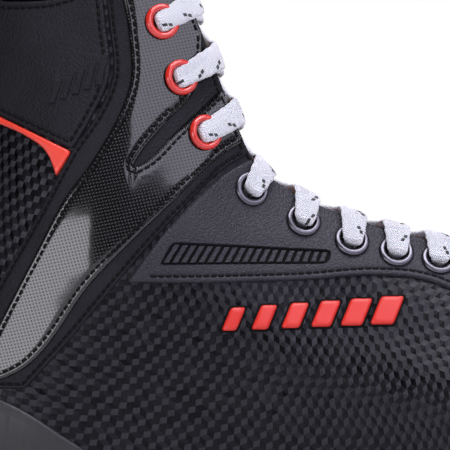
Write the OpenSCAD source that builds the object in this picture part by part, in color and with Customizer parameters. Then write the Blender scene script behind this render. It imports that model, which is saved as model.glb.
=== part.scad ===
// A right ice hockey skate: laced boot, plastic blade holder and steel runner.
// Origin: where the middle of the blade meets the ice. +X points to the toe, +Z up, -Y is the outer side.

/* [Boot] */
// Thickness of the outsole plate
outsole_t = 4; // [3:0.5:6]
// Height of the outsole's upper face above the ice, under the middle of the foot
sole_height = 66.2; // [60:0.2:72]
// Fall of the sole from heel to toe, per millimetre of length
sole_fall = 0.02; // [0:0.005:0.04]
// Thickness of the patterned quarter shell
quarter_t = 2.2; // [1.6:0.1:3]
// Thickness of the foam lining
lining_t = 4.2; // [3:0.1:5]
// Sideways sweep of the toe towards the inner side
toe_sweep = 7; // [0:0.5:10]

/* [Overlays] */
// Thickness of a leather overlay
leather_t = 1.1; // [0.8:0.1:1.5]
// Thickness of the glossy strap
strap_t = 1.2; // [0.8:0.1:1.6]
// Gap left between layers that are sewn together
layer_gap = 0.1; // [0.05:0.05:0.2]

/* [Lacing] */
// Outer radius of an eyelet's flange
eyelet_r = 5.6; // [5:0.1:6.5]
// Radius of the hole through an eyelet
eyelet_hole_r = 2.8; // [2.2:0.1:3.2]
// Width of the flat lace
lace_w = 8.6; // [6:0.2:10]
// Thickness of the lace
lace_t = 1.3; // [1:0.1:1.6]

/* [Blade] */
// Thickness of the steel runner
runner_t = 3; // [2.8:0.1:3.4]
// Length of the steel runner
runner_l = 284; // [270:1:292]
// Height of the runner that shows below the holder
runner_show = 17; // [14:0.5:20]
// Length of the runner's flat middle
flat_l = 60; // [40:5:80]
// Radius of the runner's rocker at both ends
rocker_r = 3300; // [2700:100:4000]
// Radius of a sole rivet
rivet_r = 2.3; // [2:0.1:2.6]

/* [Joints] */
// Height of the line where the tongue top folds
fold_z = 247; // [245:0.5:249]
// Height of the tendon guard above its hinge line
guard_h = 37; // [30:1:40]

/* [Hidden] */

leather = "#1c1c20";
red = "#d8322a";

// Height of the outsole's upper face at a place along the foot.
function sole_z(x) = sole_height - sole_fall * x;
// Shift of the foot's centre line towards the inner side.
function centre_y(x) = x < -60 ? 0 : toe_sweep * pow((x + 60) / 200, 2);

// The upper's form: ribs from the heel round one side to the toe, each as [x, half width, height] points
// from the sole edge up to the collar, the throat or the centre line of the toe.
SOLE = [
    [-140, 0], [-133, 20], [-112, 32], [-84, 34], [-57, 32], [-32, 32], [-8, 34], [16, 39],
    [40, 44], [60, 46.5], [76, 47], [93, 44.5], [110, 39.5], [127, 30.5], [138, 17.5], [141, 0]
];
LOW = [
    [-145, 0, 86], [-138, 22, 86], [-115, 36, 86], [-86, 38, 86], [-60, 36, 85], [-35, 36, 83],
    [-10, 38.5, 81], [15, 43, 79], [40, 48, 78], [60, 50, 77], [77, 50, 77], [95, 47, 77],
    [113, 42, 77], [131, 32.5, 77], [142, 18.5, 77], [145.5, 0, 77]
];
MIDDLE = [
    [-144, 0, 112], [-136, 21, 112], [-116, 35, 112], [-90, 39, 112], [-66, 39, 110], [-43, 38, 107],
    [-19, 39, 103], [6, 42, 99], [33, 45.5, 95], [55, 47.5, 92], [73, 47, 91], [92, 44, 90],
    [111, 39.5, 89], [129, 31, 88], [141, 18, 88], [145, 0, 88]
];
HIGH = [
    [-137, 0, 148], [-130, 19, 148], [-114, 33, 147], [-92, 40.5, 146], [-70, 41, 142], [-49, 37.5, 134],
    [-26, 34, 125], [-1, 35, 117], [26, 37.5, 111], [49, 38.5, 107], [67, 37.5, 105], [85, 34.5, 103],
    [103, 31, 101], [120.5, 24.5, 99.5], [133, 14.5, 98.5], [138, 0, 98]
];
UPPER = [
    [-132, 0, 190], [-125, 18, 188], [-109, 31, 186], [-89, 37, 187], [-69, 37, 189], [-52, 32.5, 163],
    [-32, 29, 146], [-6, 29, 134.5], [22, 29.5, 126.5], [45, 29, 121.5], [61, 25.5, 118.5], [76, 20, 116],
    [93, 17, 112.5], [110, 13.5, 108.8], [122.5, 8, 105.3], [128, 0, 104]
];
TOP = [
    [-131, 0, 226], [-124, 17, 221], [-107, 28.5, 219], [-86, 33, 227], [-69, 31, 241], [-45, 26, 186],
    [-31.5, 22, 163], [-9, 20, 151.3], [20, 18.5, 143.3], [44, 16, 137], [60, 9.5, 132.5], [69, 0, 129.5],
    [85, 0, 123.5], [101, 0, 116.5], [112, 0, 111], [118, 0, 107.5]
];
ROWS = [[for (p = SOLE) [p[0], p[1], sole_z(p[0])]], LOW, MIDDLE, HIGH, UPPER, TOP];
STATIONS = len(SOLE) - 1;

function mirrored(p) = [p[0], -p[1], p[2]];
// Neighbour of a spline point: past the heel or the toe it is the other side's point.
function along(c, i) = i < 0 ? mirrored(c[-i]) : i > STATIONS ? mirrored(c[2 * STATIONS - i]) : c[i];
function row_knot(c, i) = (along(c, i - 1) + 4 * c[i] + along(c, i + 1)) / 6;
function row_controls(p, c, n) =
    n == 0 ? c : row_controls(p, [for (i = [0:STATIONS]) c[i] + p[i] - row_knot(c, i)], n - 1);
function cubic(a, b, c, d, f) =
    (pow(1 - f, 3) * a + (3 * f * f * f - 6 * f * f + 4) * b
        + (-3 * f * f * f + 3 * f * f + 3 * f + 1) * c + f * f * f * d) / 6;
CONTROLS = [for (r = ROWS) row_controls(r, r, 8)];
function row_point(c, s) =
    let (i = min(floor(s), STATIONS - 1))
    cubic(along(c, i - 1), c[i], along(c, i + 1), along(c, i + 2), s - i);

// Neighbour of a point up a rib: past the centre line of the toe it is the other side's point.
function over(c, j) =
    let (n = len(c) - 1, k = max(0, min(1, 1 - c[n][1] / 10)))
    j < 0 ? 2 * c[0] - c[1] : j > n ? (1 - k) * (2 * c[n] - c[n - 1]) + k * mirrored(c[n - 1]) : c[j];
function rib_controls(p, c, n) =
    n == 0 ? c : rib_controls(p, [for (j = [0:len(p) - 1])
        c[j] + p[j] - (over(c, j - 1) + 4 * c[j] + over(c, j + 1)) / 6], n - 1);
function rib(s) = let (p = [for (c = CONTROLS) row_point(c, s)]) rib_controls(p, p, 6);
function rib_point(c, t) =
    let (u = t * (len(c) - 1), j = min(floor(u), len(c) - 2))
    cubic(over(c, j - 1), c[j], over(c, j + 1), over(c, j + 2), u - j);

// One grid over the upper serves every layer, so the layers nest.
NS = 48;
NT = 14;
GRID = [for (i = [0:NS]) let (c = rib(i / NS * STATIONS)) [for (j = [0:NT]) rib_point(c, j / NT)]];
function unit(v) = v / norm(v);
function grid_normal(i, j) =
    let (
        run = GRID[min(i + 1, NS)][j] - GRID[max(i - 1, 0)][j],
        rise = GRID[i][min(j + 1, NT)] - GRID[i][max(j - 1, 0)],
        n = cross(rise, run),
        flat = GRID[i][j][1] < 0.4
    )
    unit([n[0], flat ? 0 : n[1], n[2]]);
NORMALS = [for (i = [0:NS]) [for (j = [0:NT]) grid_normal(i, j)]];

// A point of a layer at a depth d outside the form, on side -1 (outer) or 1 (inner).
// seam is how far the layer stops short of the centre line.
function layer_point(side, i, j, d, seam) =
    let (p = GRID[i][j] + d * NORMALS[i][j])
    [p[0], side * max(p[1], seam) + centre_y(p[0]), p[2]];

// A closed shell over ribs i0 to i1 and heights j0 to j1, between two depths that are functions of i and j.
// every is the step through the grid.
module layer(side, i0, i1, j0, j1, inner, outer, seam = 0.1, every = 1) {
    rows = concat([for (i = [i0:every:i1 - 1]) i], [i1]);
    cols = concat([for (j = [j0:every:j1 - 1]) j], [j1]);
    ni = len(rows);
    nj = len(cols);
    count = ni * nj;
    outside = [for (i = rows) for (j = cols) layer_point(side, i, j, outer(i, j), seam)];
    inside = [for (i = rows) for (j = cols) layer_point(side, i, j, inner(i, j), seam)];
    skin = [for (i = [0:ni - 2]) for (j = [0:nj - 2])
        let (a = i * nj + j) each [[a, a + 1, a + nj + 1], [a, a + nj + 1, a + nj]]];
    back = [for (f = skin) [f[2] + count, f[1] + count, f[0] + count]];
    rim = concat(
        [for (i = [0:ni - 1]) i * nj],
        [for (j = [1:nj - 1]) (ni - 1) * nj + j],
        [for (i = [ni - 2:-1:0]) i * nj + nj - 1],
        [for (j = [nj - 2:-1:1]) j]
    );
    wall = [for (k = [0:len(rim) - 1])
        let (a = rim[k], b = rim[(k + 1) % len(rim)])
        each [[a, b, b + count], [a, b + count, a + count]]];
    faces = concat(skin, back, [for (f = wall) [f[2], f[1], f[0]]]);
    polyhedron(
        concat(outside, inside),
        side < 0 ? [for (f = faces) [f[2], f[1], f[0]]] : faces,
        convexity = 8
    );
}

// Keeps a cut layer as one mesh.
module as_mesh() {
    resize([0, 0, 0]) children();
}
function depth(d) = function (i, j) d;

// Last rib of the quarters: the toe cap starts behind it.
QUARTER_END = 35;
// Side-view outlines, as [x, z].
THROAT = [
    [-37, 170], [-31, 164.5], [-23, 158.5], [-12, 154], [2, 150.5], [14, 148], [28, 146], [48, 143], [90, 143]
];
EYESTAY = concat(THROAT, [
    [90, 90], [78, 97], [66, 101.5], [54, 107], [44, 114], [35, 121.5], [25, 128.3], [15, 131.6],
    [3, 132.6], [-22, 131.2], [-50, 130.6], [-76.5, 130.7], [-60.6, 151], [-46.5, 164.5]
]);
STRAP_BASE = [
    [-36.5, 173], [-47, 165.6], [-61, 151.6], [-78.5, 131.6], [-94, 113], [-108, 97.5], [-120, 97.5],
    [-128, 104], [-126, 112], [-116, 130.9], [-104.4, 151.2], [-98.2, 162.8], [-92.6, 172.8],
    [-86, 182.5], [-81, 194], [-82, 212], [-85, 236], [-64, 260], [-30, 190]
];
STRAP = [
    [-38, 176.5], [-46, 171.5], [-65.1, 153.1], [-85.4, 132.8], [-112.3, 101.5], [-116, 100], [-120, 102],
    [-121.5, 106.5], [-116, 117.4], [-105.1, 138.4], [-94.4, 158.4], [-88, 167], [-82.3, 176.2],
    [-77.5, 186], [-75.4, 193], [-76, 210], [-79, 232], [-66, 255], [-54, 225], [-53.5, 206], [-55, 192.4],
    [-66, 179], [-73, 169.6], [-74.8, 166.2], [-71, 168.2], [-62, 177.5], [-48.5, 190.5], [-30, 190]
];
ANKLE = [
    [-150, 199.4], [-116, 183.1], [-93.2, 172.1], [-87, 182.6], [-82, 194], [-83, 212], [-86, 236], [-150, 240]
];
TRIM = [
    [-150, 199], [-116, 182.7], [-93.5, 171.6], [-98.3, 163.5], [-99.3, 167], [-101.9, 172.1],
    [-108, 176.6], [-116, 180.3], [-150, 196.5]
];
COUNTER = [[-150, 100], [-128, 98], [-112, 92.5], [-98, 84], [-84, 73], [-80, 60], [-150, 60]];

// The part of one side's layer that lies inside a side-view outline.
module panel(side, outline, inner, outer, i0 = 0, i1 = QUARTER_END, seam = 0.1) {
    as_mesh() difference() {
        intersection() {
            layer(side, i0, i1, 0, NT, depth(inner), depth(outer), seam);
            rotate([90, 0, 0]) linear_extrude(160, center = true) polygon(outline);
        }
        children();
    }
}

// ---- Eyelets ----
// Places of the eyelets in the side view, from the toe to the collar: dark ones, then red ones.
DARK_SPOTS = [[48, 130], [35, 133.8], [21.5, 137.1], [8.1, 139.6], [-6, 143.1], [-21.3, 149.6], [-37.9, 159.6]];
RED_SPOTS = [[-53.2, 177.4], [-60.7, 194.6], [-66.3, 212], [-72, 229]];
SPOTS = concat(DARK_SPOTS, RED_SPOTS);
DARK = len(DARK_SPOTS);
LEVELS = len(SPOTS) - 1;
function form(s, t) = rib_point(rib(s), t);
// Finds the rib and height of the form under a place in the side view, by Newton's steps.
function seek(spot, s, t, n) =
    n == 0 ? [s, t] :
    let (
        p = form(s, t),
        ds = (form(s + 0.05, t) - p) / 0.05,
        dt = (form(s, t - 0.02) - p) / -0.02,
        gap = [spot[0] - p[0], spot[1] - p[2]],
        det = ds[0] * dt[2] - dt[0] * ds[2],
        step_s = (gap[0] * dt[2] - dt[0] * gap[1]) / det,
        step_t = (ds[0] * gap[1] - gap[0] * ds[2]) / det
    )
    seek(spot, s + max(-0.5, min(0.5, step_s)), max(0.5, min(0.98, t + max(-0.1, min(0.1, step_t)))), n - 1);
// First guess of the rib for an eyelet, from the toe to the collar.
PLACES = [for (k = [0:LEVELS]) seek(SPOTS[k], 9.2 - k * 0.47, 0.9, 8)];
function place_normal(k) =
    let (
        s = PLACES[k][0], t = PLACES[k][1],
        run = form(s + 0.1, t) - form(s - 0.1, t),
        rise = form(s, t) - form(s, t - 0.05)
    )
    unit(cross(rise, run));
HOLES = [for (k = [0:LEVELS]) form(PLACES[k][0], PLACES[k][1])];
HOLE_AXES = [for (k = [0:LEVELS]) place_normal(k)];

function to_side(side, p) = [p[0], side * p[1] + centre_y(p[0]), p[2]];
// Puts children on the form at eyelet k, with +Z outwards.
module at_eyelet(side, k) {
    n = [HOLE_AXES[k][0], side * HOLE_AXES[k][1], HOLE_AXES[k][2]];
    translate(to_side(side, HOLES[k])) rotate([0, acos(n[2]), atan2(n[1], n[0])]) children();
}
barrel_r = eyelet_hole_r + 0.5;
module eyelet_holes(side, first, last) {
    for (k = [first:last]) at_eyelet(side, k) cylinder(r = barrel_r + 0.3, h = 24, center = true, $fn = 10);
}
// Flanged ring whose barrel goes in past the lining; the flange rests on a layer at height base.
module eyelet(base) {
    rotate_extrude($fn = 48) polygon([
        [eyelet_hole_r, -lining_t - quarter_t + 2.4], [barrel_r, -lining_t - quarter_t + 2.4],
        [barrel_r, base], [eyelet_r, base], [eyelet_r - 0.1, base + 0.6], [eyelet_r - 0.9, base + 1.15],
        [eyelet_r - 1.7, base + 1.2], [barrel_r, base + 0.7], [eyelet_hole_r, base - 0.3]
    ]);
}
// Height of the flanges' undersides: dark ones lie on the eyestay, red ones on the strap.
dark_base = layer_gap + leather_t + 0.35;
red_base = 2 * layer_gap + leather_t + strap_t + 0.3;
module eyelets(side, first, last, base) {
    for (k = [first:last]) at_eyelet(side, k) eyelet(base);
}

// ---- Boot ----
// Lining thins towards the throat so that the lace can pass under the edge.
function lining_depth(i, j) =
    let (throat = i > 12 && i < 37 ? max(0, (j - NT + 4) / 4) : 0)
    -quarter_t - layer_gap - lining_t * (1 - 0.55 * throat);

board_t = 1.2;
flange_t = 4;
module sole_outline(inset) {
    shrink_x = 1 - inset / 141;
    shrink_y = 1 - inset / 40;
    pts = [for (i = [0:NS]) [GRID[i][0][0] * shrink_x, GRID[i][0][1] * shrink_y]];
    polygon(concat(
        [for (p = pts) [p[0], -p[1] + centre_y(p[0])]],
        [for (i = [NS - 1:-1:1]) [pts[i][0], pts[i][1] + centre_y(pts[i][0])]]
    ));
}
// Puts children on the sloping sole plane, with z = 0 at the outsole's upper face.
module on_sole() {
    multmatrix([[1, 0, 0, 0], [0, 1, 0, 0], [-sole_fall, 0, 1, sole_height], [0, 0, 0, 1]]) children();
}
FRONT_RIVETS = [for (x = [34, 58, 82, 104]) for (y = [-1, 1]) [x, y * (x > 90 ? 22 : 27) + 3]];
REAR_RIVETS = [for (x = [-122, -101, -80]) for (y = [-1, 1]) [x, y * (x < -110 ? 15 : 20)]];

module outsole() {
    color("#151517") difference() {
        translate([0, 0, -outsole_t]) on_sole() linear_extrude(outsole_t - 0.1) sole_outline(0);
        for (p = concat(FRONT_RIVETS, REAR_RIVETS))
            translate([p[0], p[1], sole_height - 12]) cylinder(r = rivet_r + 0.1, h = 30, $fn = 32);
    }
}

module lasting_board() {
    color("#8a7f6c") difference() {
        on_sole() translate([0, 0, 0.05]) linear_extrude(board_t) sole_outline(7);
        for (p = concat(FRONT_RIVETS, REAR_RIVETS))
            translate([p[0], p[1], sole_height - 12]) cylinder(r = rivet_r + 0.1, h = 30, $fn = 32);
    }
}

module footbed() {
    color("#44464c") on_sole() translate([0, 0, board_t + 1]) linear_extrude(4.2) sole_outline(9.5);
}

module quarter(side) {
    color("#2e2f33") as_mesh() difference() {
        layer(side, 0, QUARTER_END, 0, NT, depth(-quarter_t), depth(0));
        eyelet_holes(side, 0, LEVELS);
    }
}

module lining(side) {
    color("#2a2a2c") as_mesh() difference() {
        layer(
            side, 0, QUARTER_END, 2, NT, function (i, j) lining_depth(i, j), depth(-quarter_t - 3 * layer_gap),
            every = 2
        );
        eyelet_holes(side, 0, LEVELS);
    }
}

// Both halves of a layer over the toe, a hair in front of the quarters.
module toe_layer(inner, outer, j0, every = 1) {
    translate([0.15, 0, 0]) as_mesh()
        for (side = [-1, 1]) layer(side, QUARTER_END, NS, j0, NT, inner, outer, -0.05, every);
}
module toe_cap() {
    color("#121214") toe_layer(depth(-2.6), function (i, j) j == 0 ? 0.2 : 1, 0);
}
module toe_lining() {
    color("#303034") toe_layer(depth(-5), depth(-3), 2, 2);
}

module heel_counter() {
    color("#101012") as_mesh() {
        for (side = [-1, 1]) panel(side, COUNTER, layer_gap, 1.3, 0, 14, -0.05);
    }
}
// Strip that covers the heel seam, from the counter up to the collar.
BACK_STAY = [[-160, 102], [-128, 101], [-100, 101], [-100, 240], [-160, 240]];
module back_stay() {
    color("#121214") as_mesh() {
        for (side = [-1, 1]) panel(side, BACK_STAY, layer_gap, 1.5, 0, 1, -0.05);
    }
}

module eyestay(side) {
    color(leather) panel(side, EYESTAY, layer_gap, layer_gap + leather_t, 10)
        eyelet_holes(side, 0, DARK - 1);
}
module strap_base(side) {
    color(leather) panel(side, STRAP_BASE, layer_gap, layer_gap + leather_t, 0, 24)
        eyelet_holes(side, DARK, LEVELS);
}
module strap(side) {
    color("#08080a") panel(side, STRAP, 2 * layer_gap + leather_t, 2 * layer_gap + leather_t + strap_t, 0, 24)
        eyelet_holes(side, DARK, LEVELS);
}
module ankle_panel(side) {
    color(leather) panel(side, ANKLE, layer_gap, layer_gap + leather_t, 1, 16);
}
module trim(side) {
    color(red) panel(side, TRIM, layer_gap, layer_gap + 1.3, 1, 16);
}

// Raised motif: six slanted bars that grow towards the toe.
MOTIF_FIELD = [[-60, 112], [14, 112], [14, 130], [-60, 130]];
MOTIF_X = -47;
MOTIF_Z = 115.6;
MOTIF_BARS = 6;
MOTIF_PITCH = 9.3;
MOTIF_SLANT = 0.42;
module motif(side) {
    color(red) panel(side, MOTIF_FIELD, layer_gap, 1.3, 12, 26) {
        rotate([90, 0, 0]) linear_extrude(160, center = true) difference() {
            square(400, center = true);
            for (k = [0:MOTIF_BARS - 1])
                translate([MOTIF_X + k * MOTIF_PITCH, MOTIF_Z + k * 0.35]) motif_bar(4.8 + 0.55 * k, 7.4 + 0.3 * k);
        }
    }
}
module motif_bar(w, h) {
    polygon([[0, 0], [w, 0], [w + h * MOTIF_SLANT, h], [h * MOTIF_SLANT, h]]);
}

// ---- Swept solids ----
// A closed tube through rings of points that all have the same count. With strip, a ring is a band that runs
// out and back, and its end caps are strips across the band.
module swept(rings, strip = false) {
    n = len(rings[0]);
    last = len(rings) - 1;
    low_cap = strip
        ? [for (k = [0:n / 2 - 2]) [k, k + 1, n - 2 - k, n - 1 - k]]
        : [[for (k = [0:n - 1]) k]];
    high_cap = [for (f = low_cap) [for (k = [len(f) - 1:-1:0]) last * n + f[k]]];
    polyhedron(
        [for (r = rings) each r],
        concat(
            low_cap,
            [for (i = [0:last - 1]) for (k = [0:n - 1])
                let (a = i * n + k, b = i * n + (k + 1) % n)
                each [[a, a + n, b + n], [a, b + n, b]]],
            high_cap
        ),
        convexity = 10
    );
}

// Roll along the collar's edge, from one front corner round the heel to the other.
COLLAR_R = 3.3;
COLLAR_END = 12;
function collar_centre(side, i) =
    let (p = GRID[i][NT] + NORMALS[i][NT] * (-3.2) + [0, 0, COLLAR_R + 0.3])
    [p[0], side * p[1], p[2]];
module collar_roll() {
    centres = concat(
        [for (i = [COLLAR_END:-1:0]) collar_centre(-1, i)],
        [for (i = [1:COLLAR_END]) collar_centre(1, i)]
    );
    last = len(centres) - 1;
    color("#17171a") as_mesh() difference() {
        swept([for (i = [0:last])
            let (
                run = unit(centres[min(i + 1, last)] - centres[max(i - 1, 0)]),
                across = unit(cross([0, 0, 1], run)),
                up = cross(run, across),
                r = COLLAR_R * (i == 0 || i == last ? 0.6 : 1)
            )
            [for (a = [0:36:324]) centres[i] + r * (cos(a) * across + sin(a) * up)]
        ]);
        for (side = [-1, 1]) translate([0, 0, 0.08]) {
            layer(side, 0, 18, 9, NT, depth(-9), depth(4), -0.05);
            layer(side, 0, QUARTER_END, 2, NT, depth(-9), depth(4), -0.05, 2);
        }
    }
}

// ---- Tongue ----
// Front face along the centre line: [x, z, direction the face looks in (degrees above +X), half width,
// drop at the sides, thickness].
TONGUE = [
    [70, 117, 76, 25, 14, 5], [56, 124.5, 76, 26, 17, 6], [38, 131, 75, 26, 17, 7], [18, 137.3, 73, 25, 16, 7.5],
    [-8, 145.8, 68, 24, 15, 8], [-22, 152, 57, 22, 13, 8], [-34, 161.5, 44, 20.5, 11, 8],
    [-44, 176, 30, 21.5, 9, 7.5], [-51.5, 193, 23, 22.5, 8.5, 7.5], [-58.5, 212, 20, 23.5, 8.5, 7.5],
    [-65, 231, 18, 24, 8, 8], [-69.5, 246, 16, 24.5, 8, 8.5], [-74, 262, 15, 25.5, 9, 8.5], [-76.3, 270, 15, 21.5, 8.5, 7]
];
TONGUE_COLS = 10;
function tongue_point(p, u, back) =
    let (n = [cos(p[2]), 0, sin(p[2])], d = p[4] * u * u + back)
    [p[0], u * p[3], p[1]] - d * n;
function tongue_ring(p) = concat(
    [for (k = [-TONGUE_COLS / 2:TONGUE_COLS / 2]) tongue_point(p, 2 * k / TONGUE_COLS, 0)],
    [for (k = [TONGUE_COLS / 2:-1:-TONGUE_COLS / 2])
        let (u = 2 * k / TONGUE_COLS) tongue_point(p, u, p[5] * (1 - 0.45 * u * u))]
);
module tongue_body() {
    swept([for (p = TONGUE) tongue_ring(p)]);
}
// Room that the quarters, the lining and the lace under the edges take.
module quarter_room() {
    for (side = [-1, 1])
        layer(side, 12, NS - 4, 4, NT, function (i, j) i > 35 ? -7 : lining_depth(i, j) - 2.4, depth(4));
}
module tongue() {
    color("#3a3b3f") as_mesh() difference() {
        tongue_body();
        quarter_room();
        translate([-150, -60, fold_z - 0.4]) cube([140, 120, 60]);
    }
}
module tongue_top() {
    color("#3a3b3f") as_mesh() intersection() {
        tongue_body();
        translate([-150, -60, fold_z]) cube([140, 120, 60]);
    }
}

// ---- Tendon guard ----
GUARD_X = -115;
GUARD_Z = 233.2;
GUARD_COLS = 20;
GUARD_ROWS = 7;
function guard_point(a, v, inset) =
    let (
        low = GUARD_Z - 5.5 * (1 - cos(a)),
        high = GUARD_Z + guard_h - 21 * (1 - cos(a)),
        lean = v * 5,
        w = 29 - 6 * v * v - inset,
        reach = 19.8 - inset
    )
    [GUARD_X - lean - reach * cos(a), w * sin(a), low + (high - low) * v];
// Shell between two insets from the guard's outer face.
module guard_layer(outer, inner, low_v, high_v) {
    angles = [for (k = [0:GUARD_COLS]) -95 + 190 * k / GUARD_COLS];
    swept([for (r = [0:GUARD_ROWS])
        let (v = low_v + (high_v - low_v) * r / GUARD_ROWS)
        concat(
            [for (a = angles) guard_point(a, v, outer)],
            [for (k = [GUARD_COLS:-1:0]) guard_point(angles[k], v, inner)]
        )
    ], true);
}
module tendon_guard() {
    color("#141416") as_mesh() guard_layer(0, 3.4, 0, 1);
}
module tendon_pad() {
    color("#2b2b2e") as_mesh() guard_layer(3.6, 7.8, 0.02, 0.93);
}

// ---- Lace ----
// Rib whose top is nearest to eyelet k in the side view.
function edge_gap(k, s) = let (e = row_point(CONTROLS[5], s)) norm([e[0] - HOLES[k][0], e[2] - HOLES[k][2]]);
function nearest_rib(k, s, best) =
    s > 10 ? best : nearest_rib(k, s + 0.02, edge_gap(k, s) < edge_gap(k, best) ? s : best);
EDGE_RIBS = [for (k = [0:LEVELS]) nearest_rib(k, 4.1, 4.1)];
// A level runs from 0 at the lowest pair of eyelets to LEVELS at the top pair, and a little beyond.
function level_rib(l) =
    let (k = max(0, min(floor(l), LEVELS - 1)), f = l - k) EDGE_RIBS[k] * (1 - f) + EDGE_RIBS[k + 1] * f;
function edge(l) = row_point(CONTROLS[5], level_rib(l));
function edge_run(l) = let (v = edge(l + 0.1) - edge(l - 0.1)) unit([v[0], 0, v[2]]);
// A point in the throat: w across from the centre line, h above the line through both edges.
function throat_point(l, w, h) =
    let (e = edge(l), r = edge_run(l), x = e[0] + r[2] * h)
    [x, w + centre_y(x), e[2] - r[0] * h];
function hole_point(side, k, d) = to_side(side, HOLES[k] + d * HOLE_AXES[k]);
OVER = 3.5;
UNDER = -6;
// Each ring of the lace: [point, width direction, half width, half thickness].
function ring(p, l, w = lace_w / 2, t = lace_t / 2) = [p, edge_run(l), w, t];
// A point beside the throat's edge at level l, under the lining there.
function under_edge(side, l) = to_side(side, edge(l) - 5.6 * HOLE_AXES[min(round(l), LEVELS)]);
// From the eyelet at level k on one side, over its edge, across and under the other side's edge.
function crossing(side, k, above) =
    let (w0 = edge(k)[1], w1 = edge(min(k + 1, LEVELS + 0.6))[1], h = above ? 1 : -1)
    [
        ring(hole_point(side, k, UNDER), k, 2.2, 0.9),
        ring(hole_point(side, k, 0), k, 2.0, 1.1),
        ring(hole_point(side, k, OVER), k, 3.2, 0.8),
        ring(throat_point(k + 0.12, side * (w0 + 1.5), 2.4), k + 0.12),
        ring(throat_point(k + 0.25, side * (w0 * 0.62), above ? 1.9 : -0.4), k + 0.25),
        ring(throat_point(k + 0.5, 0, 1.0 * h), k + 0.5),
        ring(throat_point(k + 0.72, -side * w1 * 0.5, above ? 0.3 : -1.5), k + 0.72),
        ring(under_edge(-side, k + 0.9), k + 0.9)
    ];
// One half of the lace, from the middle of the lowest pair up to its tucked end.
function half(side, first) = [
    for (k = [0:LEVELS]) each crossing(k % 2 == 0 ? side : -side, k, (k + first) % 2 == 0)
];
function start_ring() = ring(throat_point(0, 0, -6.2), 0, 2.2, 0.7);
function tail(side) = [
    ring(to_side(-side, HOLES[LEVELS] + UNDER * HOLE_AXES[LEVELS]), LEVELS + 0.6, 3, 0.7),
    ring(to_side(-side, HOLES[LEVELS] + UNDER * HOLE_AXES[LEVELS] + [-3, 0, -9]), LEVELS + 0.4, 3, 0.7)
];
function reversed(v) = [for (i = [len(v) - 1:-1:0]) v[i]];
function half_with_tail(side, first) = concat(half(side, first), tail(LEVELS % 2 == 0 ? side : -side));
module lace() {
    route = concat(reversed(half_with_tail(-1, 0)), [start_ring()], half_with_tail(1, 1));
    last = len(route) - 1;
    color("#e9e6ee") swept([for (i = [0:last])
        let (
            run = unit(route[min(i + 1, last)][0] - route[max(i - 1, 0)][0]),
            a = route[i][1],
            across = unit(a - (a * run) * run),
            up = cross(run, across),
            w = route[i][2], t = route[i][3]
        )
        [for (c = [[-1, -0.4], [-0.8, -1], [0.8, -1], [1, -0.4], [1, 0.4], [0.8, 1], [-0.8, 1], [-1, 0.4]])
            route[i][0] + c[0] * w * across + c[1] * t * up]
    ]);
}

// ---- Holder and runner ----
SLOT_TOP = runner_show + 10;
TOWER_T = 12;
BRIDGE_T = 10;
BOLTS_X = [-103, 104];
BOLT_Z = 21.5;
bolt_r = 2.5;
// Side view of the holder, as [x, z], below the sole plane.
FRONT_TOWER = [
    [40, runner_show], [128, runner_show], [134, runner_show + 2], [136.5, 24], [134, 33], [127, 46],
    [120, 66], [26, 66], [22, 56], [26, 44], [34, 33], [40, 27]
];
REAR_TOWER = [
    [-128, runner_show], [-60, runner_show], [-56, 27], [-60, 37], [-66, 50], [-68, 70], [-130, 70], [-131, 55],
    [-134, 38], [-136, 24], [-134, 19]
];
// Keeps what lies below the outsole.
module below_sole() {
    intersection() {
        children();
        translate([0, 0, -outsole_t - 100]) on_sole() translate([-200, -80, 0]) cube([400, 160, 99.9]);
    }
}
// Extrudes a side view to a thickness.
module plate(t) {
    rotate([90, 0, 0]) linear_extrude(t, center = true) children();
}
module rounded(r) {
    offset(r = r, $fn = 48) offset(r = -2 * r, $fn = 48) offset(r = r, $fn = 48) children();
}
module tower_flange(x0, x1, w, y) {
    translate([0, 0, -outsole_t - flange_t]) on_sole() translate([(x0 + x1) / 2, y, 0]) linear_extrude(flange_t - 0.1)
        resize([x1 - x0, w]) circle(r = 40, $fn = 64);
}
module tower_flare(x0, x1, w, y) {
    hull() {
        translate([0, 0, -outsole_t - 1.2]) on_sole() translate([(x0 + x1) / 2, y, 0]) linear_extrude(1)
            resize([x1 - x0 - 6, w - 6]) circle(r = 40, $fn = 32);
        translate([(x0 + x1) / 2, 0, 34]) cube([(x1 - x0) * 0.82, 12, 1], center = true);
    }
}
module holder() {
    color("#e6e7ea") difference() {
        union() {
            below_sole() {
                plate(TOWER_T) rounded(2) polygon(FRONT_TOWER);
                plate(TOWER_T) rounded(2) polygon(REAR_TOWER);
            }
            plate(BRIDGE_T) translate([-60, runner_show]) square([102, 15.5]);
            tower_flange(22, 124, 66, 3);
            tower_flange(-134, -66, 56, 0);
            tower_flare(24, 122, 50, 2);
            tower_flare(-132, -68, 42, 0);
        }
        translate([-200, -runner_t / 2 - 0.1, 0]) cube([400, runner_t + 0.2, SLOT_TOP]);
        for (x = BOLTS_X) translate([x, 0, BOLT_Z]) rotate([90, 0, 0]) {
            cylinder(r = bolt_r + 0.1, h = 60, center = true, $fn = 48);
            translate([0, 0, 4.2]) cylinder(r = 4.9, h = 30, $fn = 48);
            translate([0, 0, -34.2]) cylinder(r = 4.9, h = 30, $fn = 48);
        }
        for (p = concat(FRONT_RIVETS, REAR_RIVETS)) translate([p[0], p[1], 0]) {
            cylinder(r = rivet_r + 0.1, h = 90, $fn = 32);
            cylinder(r = 5, h = sole_z(p[0]) - outsole_t - flange_t, $fn = 32);
        }
        // Window through each tower
        plate(90) hull() {
            translate([56, 45]) circle(r = 5, $fn = 40);
            translate([88, 45]) circle(r = 5, $fn = 40);
        }
        plate(90) hull() {
            translate([-106, 49]) circle(r = 4.5, $fn = 40);
            translate([-88, 49]) circle(r = 4.5, $fn = 40);
        }
    }
}

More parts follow.
